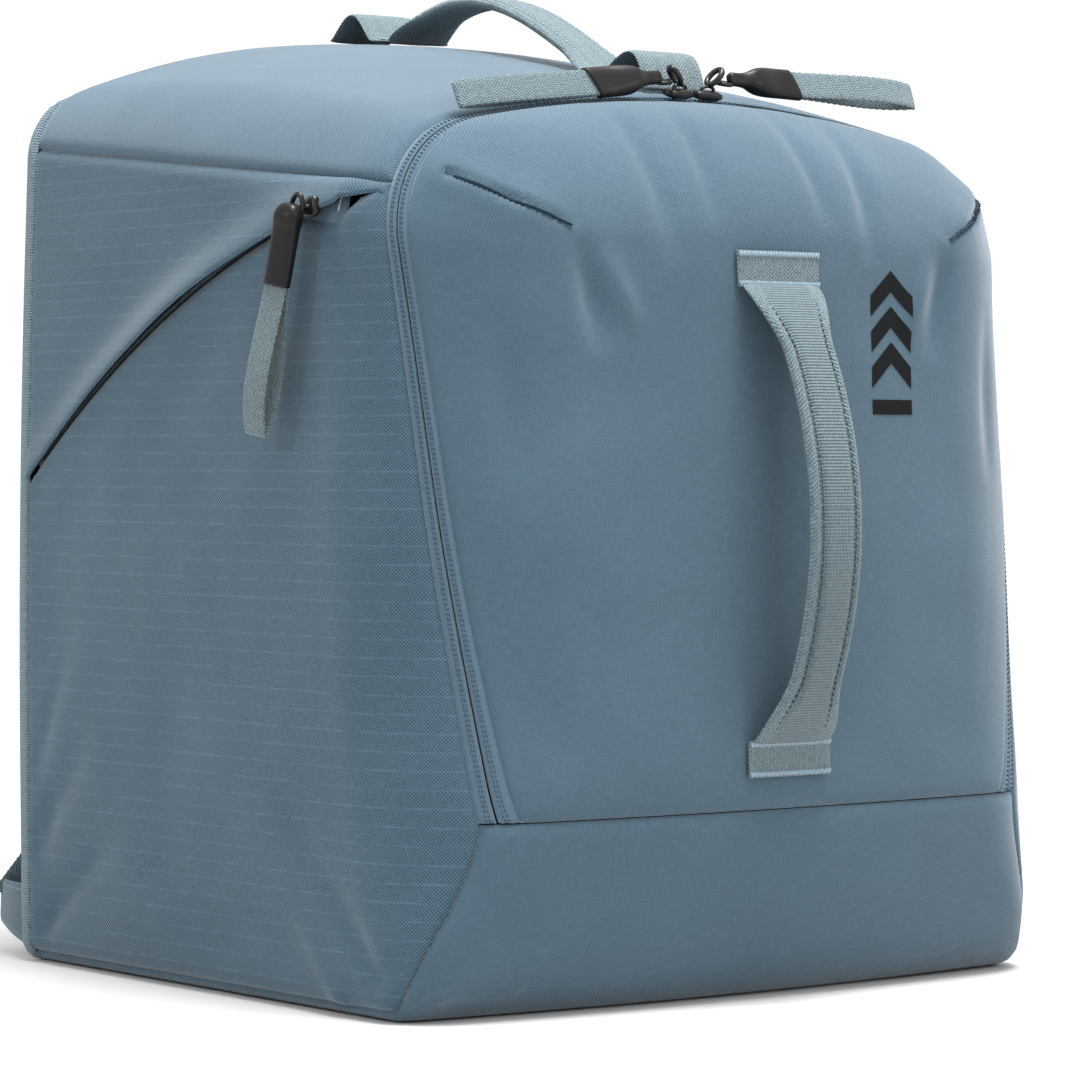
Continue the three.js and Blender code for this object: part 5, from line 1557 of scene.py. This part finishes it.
STRAP_WIDTH = (0.062, 0.0496)
STRAP_THICK = 11 * MM
for side, name in ((-1, "left"), (1, "right")):
    low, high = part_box(f"{name}_shoulder_strap")
    t = np.linspace(0, 1, 90)
    x = side * through([(0, 0.062), (0.5, 0.088), (1, 0.118)], t)
    rest_y = high.y - 26 * MM - STRAP_THICK / 2
    y = rest_y + 26 * MM * np.sin(np.pi * t)
    z = 0.389 + (0.128 - 0.389) * t
    line = np.stack([x, y, z], -1)
    width = STRAP_WIDTH[0] + (STRAP_WIDTH[1] - STRAP_WIDTH[0]) * t
    foam = (STRAP_THICK - 1 * MM) * (0.8 + 0.2 * np.sin(np.pi * t))
    strap, across, out = ribbon(
        f"{name}_shoulder_strap", line, AHEAD, width * 0.97, foam, air_mesh, frayed=0
    )
    puffed(strap, 4 * MM, 3, 1.6 * MM)
    smoothed(strap)
    outer = out * np.sign(out[:, 1:2])
    pieces = [(strap, "air_mesh")]
    for k in (-1, 1):
        edge_line = line + across * (k * width * 0.485)[:, None]
        place = "inner" if k * side < 0 else "outer"
        edge, _, _ = ribbon(
            f"{name}_strap_binding_{place}", edge_line, outer, 6.5 * MM, 2.4 * MM, binding_cloth,
            frayed=0.1 * MM,
        )
        pieces.append((edge, "webbing"))
    web_line = (line + outer * (STRAP_THICK / 2 + 0.3 * MM))[6:]
    web, _, _ = ribbon(f"{name}_strap_web", web_line, AHEAD, 20 * MM, 1.6 * MM, web_cloth)
    pieces.append((web, "webbing"))
    rows = []
    for share in (0.04, 0.3, 0.56, 0.82, 0.97):
        at = round(share * (len(web_line) - 1))
        x = np.linspace(-9, 9, 18)[:, None] * MM
        rows.append((web_line[at] + outer[at + 6] * 1.2 * MM + across[at + 6] * x, UPWARD))
    pieces.append((sewn(f"{name}_strap_tacks", rows, 3.0 * MM, 0.9 * MM, thread_material), "webbing"))
    for piece, slot in pieces:
        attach(piece, f"{name}_strap")
    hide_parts(f"{name}_shoulder_strap")
    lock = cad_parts[f"{name}_ladder_lock"]
    lock.data.materials.clear()
    lock.data.materials.append(moulded_black)

    wing_low, wing_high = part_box(f"{name}_strap_wing")
    root_x = wing_low.x + 0.4 * MM if side < 0 else wing_high.x - 0.4 * MM
    t = np.linspace(0, 1, 30)
    line = np.stack([
        root_x - side * 8 * MM * t + side * 1.5 * MM * np.sin(np.pi * t),
        wing_low.y + 2 * MM + (wing_high.y - wing_low.y - 3 * MM) * t,
        wing_low.z + 16 * MM + 4 * MM * t,
    ], -1)
    wing_width = 32 * MM - 9 * MM * t
    wing, _, _ = ribbon(f"{name}_strap_wing", line, UPWARD, wing_width, 3.0 * MM, shell_cloth, frayed=0)
    rows = []
    for k in (-1, 1):
        seam = line + UPWARD * (k * (12.5 * MM - 3.5 * MM * t))[:, None]
        rows.append(stations(seam + np.array([side * 1.4 * MM, 0, 0]), 3.0 * MM))
    wing_seams = sewn(f"{name}_strap_wing_stitches", rows, 2.1 * MM, 0.7 * MM, thread_material)
    for piece in (wing, wing_seams):
        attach(piece, "root")
    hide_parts(f"{name}_strap_wing")

    start = line[-1] + np.array([-side * 1 * MM, -3 * MM, 1 * MM])
    lock_low, lock_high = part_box(f"{name}_ladder_lock")
    finish = np.array([(lock_low.x + lock_high.x) / 2, (lock_low.y + lock_high.y) / 2, lock_low.z + 4 * MM])
    t = np.linspace(0, 1, 80)
    line = start + (finish - start) * t[:, None]
    line[:, 1] += 4 * MM * np.sin(np.pi * t)
    turned = np.clip(t * 1.4, 0, 1)[:, None]
    across = UPWARD * (1 - turned) + np.array([side, 0, 0]) * turned
    lower_web, _, _ = ribbon(f"{name}_lower_web", line, across, 19 * MM, 1.8 * MM, web_cloth)
    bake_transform(lower_web)
    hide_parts(f"{name}_lower_web")

# ---- chest strap -------------------------------------------------------------------------------------
# Each half hangs open from its shoulder strap: a short web with one half of a moulded side-release buckle.
# The left one ends in the socket and the right one in the tab with its three prongs.
for side, name in ((-1, "left"), (1, "right")):
    low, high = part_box(f"{name}_sternum_web")
    t = np.linspace(0, 1, 40)
    line = np.stack([
        np.full(40, (low.x + high.x) / 2),
        (low.y + high.y) / 2 + 1.2 * MM * np.sin(np.pi * t),
        high.z + (low.z - high.z) * t,
    ], -1)
    web, _, _ = ribbon(f"{name}_sternum_web", line, AHEAD, 19.6 * MM, 1.8 * MM, web_cloth)
    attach(web, f"{name}_sternum")
    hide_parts(f"{name}_sternum_web")


def buckle_block(name, centre, width, thick, first, last, taper, body):
    """A moulded block with soft edges, hanging from one height to another."""
    t = np.linspace(0, 1, 16)
    middles = np.array([[centre.x, centre.y, first + (last - first) * s] for s in t])
    soft = np.clip(np.minimum(t, 1 - t) / 0.1, 0, 1) ** 0.5
    piece = lofted(
        name, middles, AHEAD, np.array([0, 1.0, 0]),
        width / 2 * (1 - taper * t) * (0.86 + 0.14 * soft), thick / 2 * (0.7 + 0.3 * soft),
        moulded_black, 0.4,
    )
    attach(piece, body)
    return piece


low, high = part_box("sternum_buckle_socket")
centre = (low + high) / 2
wide, thick = high.x - low.x, high.y - low.y
socket = buckle_block("sternum_buckle_socket", centre, wide, thick, high.z, low.z, 0.08, "left_sternum")
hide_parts("sternum_buckle_socket")
low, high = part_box("sternum_buckle_prongs")
centre = (low + high) / 2
wide, thick = high.x - low.x, high.y - low.y
TAB_DROP = 12 * MM
tab = buckle_block(
    "sternum_buckle_prongs", centre, wide, thick, high.z, high.z - TAB_DROP, 0.1, "right_sternum"
)
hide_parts("sternum_buckle_prongs")
for k, label in ((-1, "left"), (0, "middle"), (1, "right")):
    prong_centre = Vector((centre.x + k * 7 * MM, centre.y, 0))
    prong_top = high.z - TAB_DROP + 1 * MM
    buckle_block(
        f"sternum_prong_{label}", prong_centre, 3.6 * MM, 3.6 * MM, prong_top, low.z, 0.25, "right_sternum"
    )
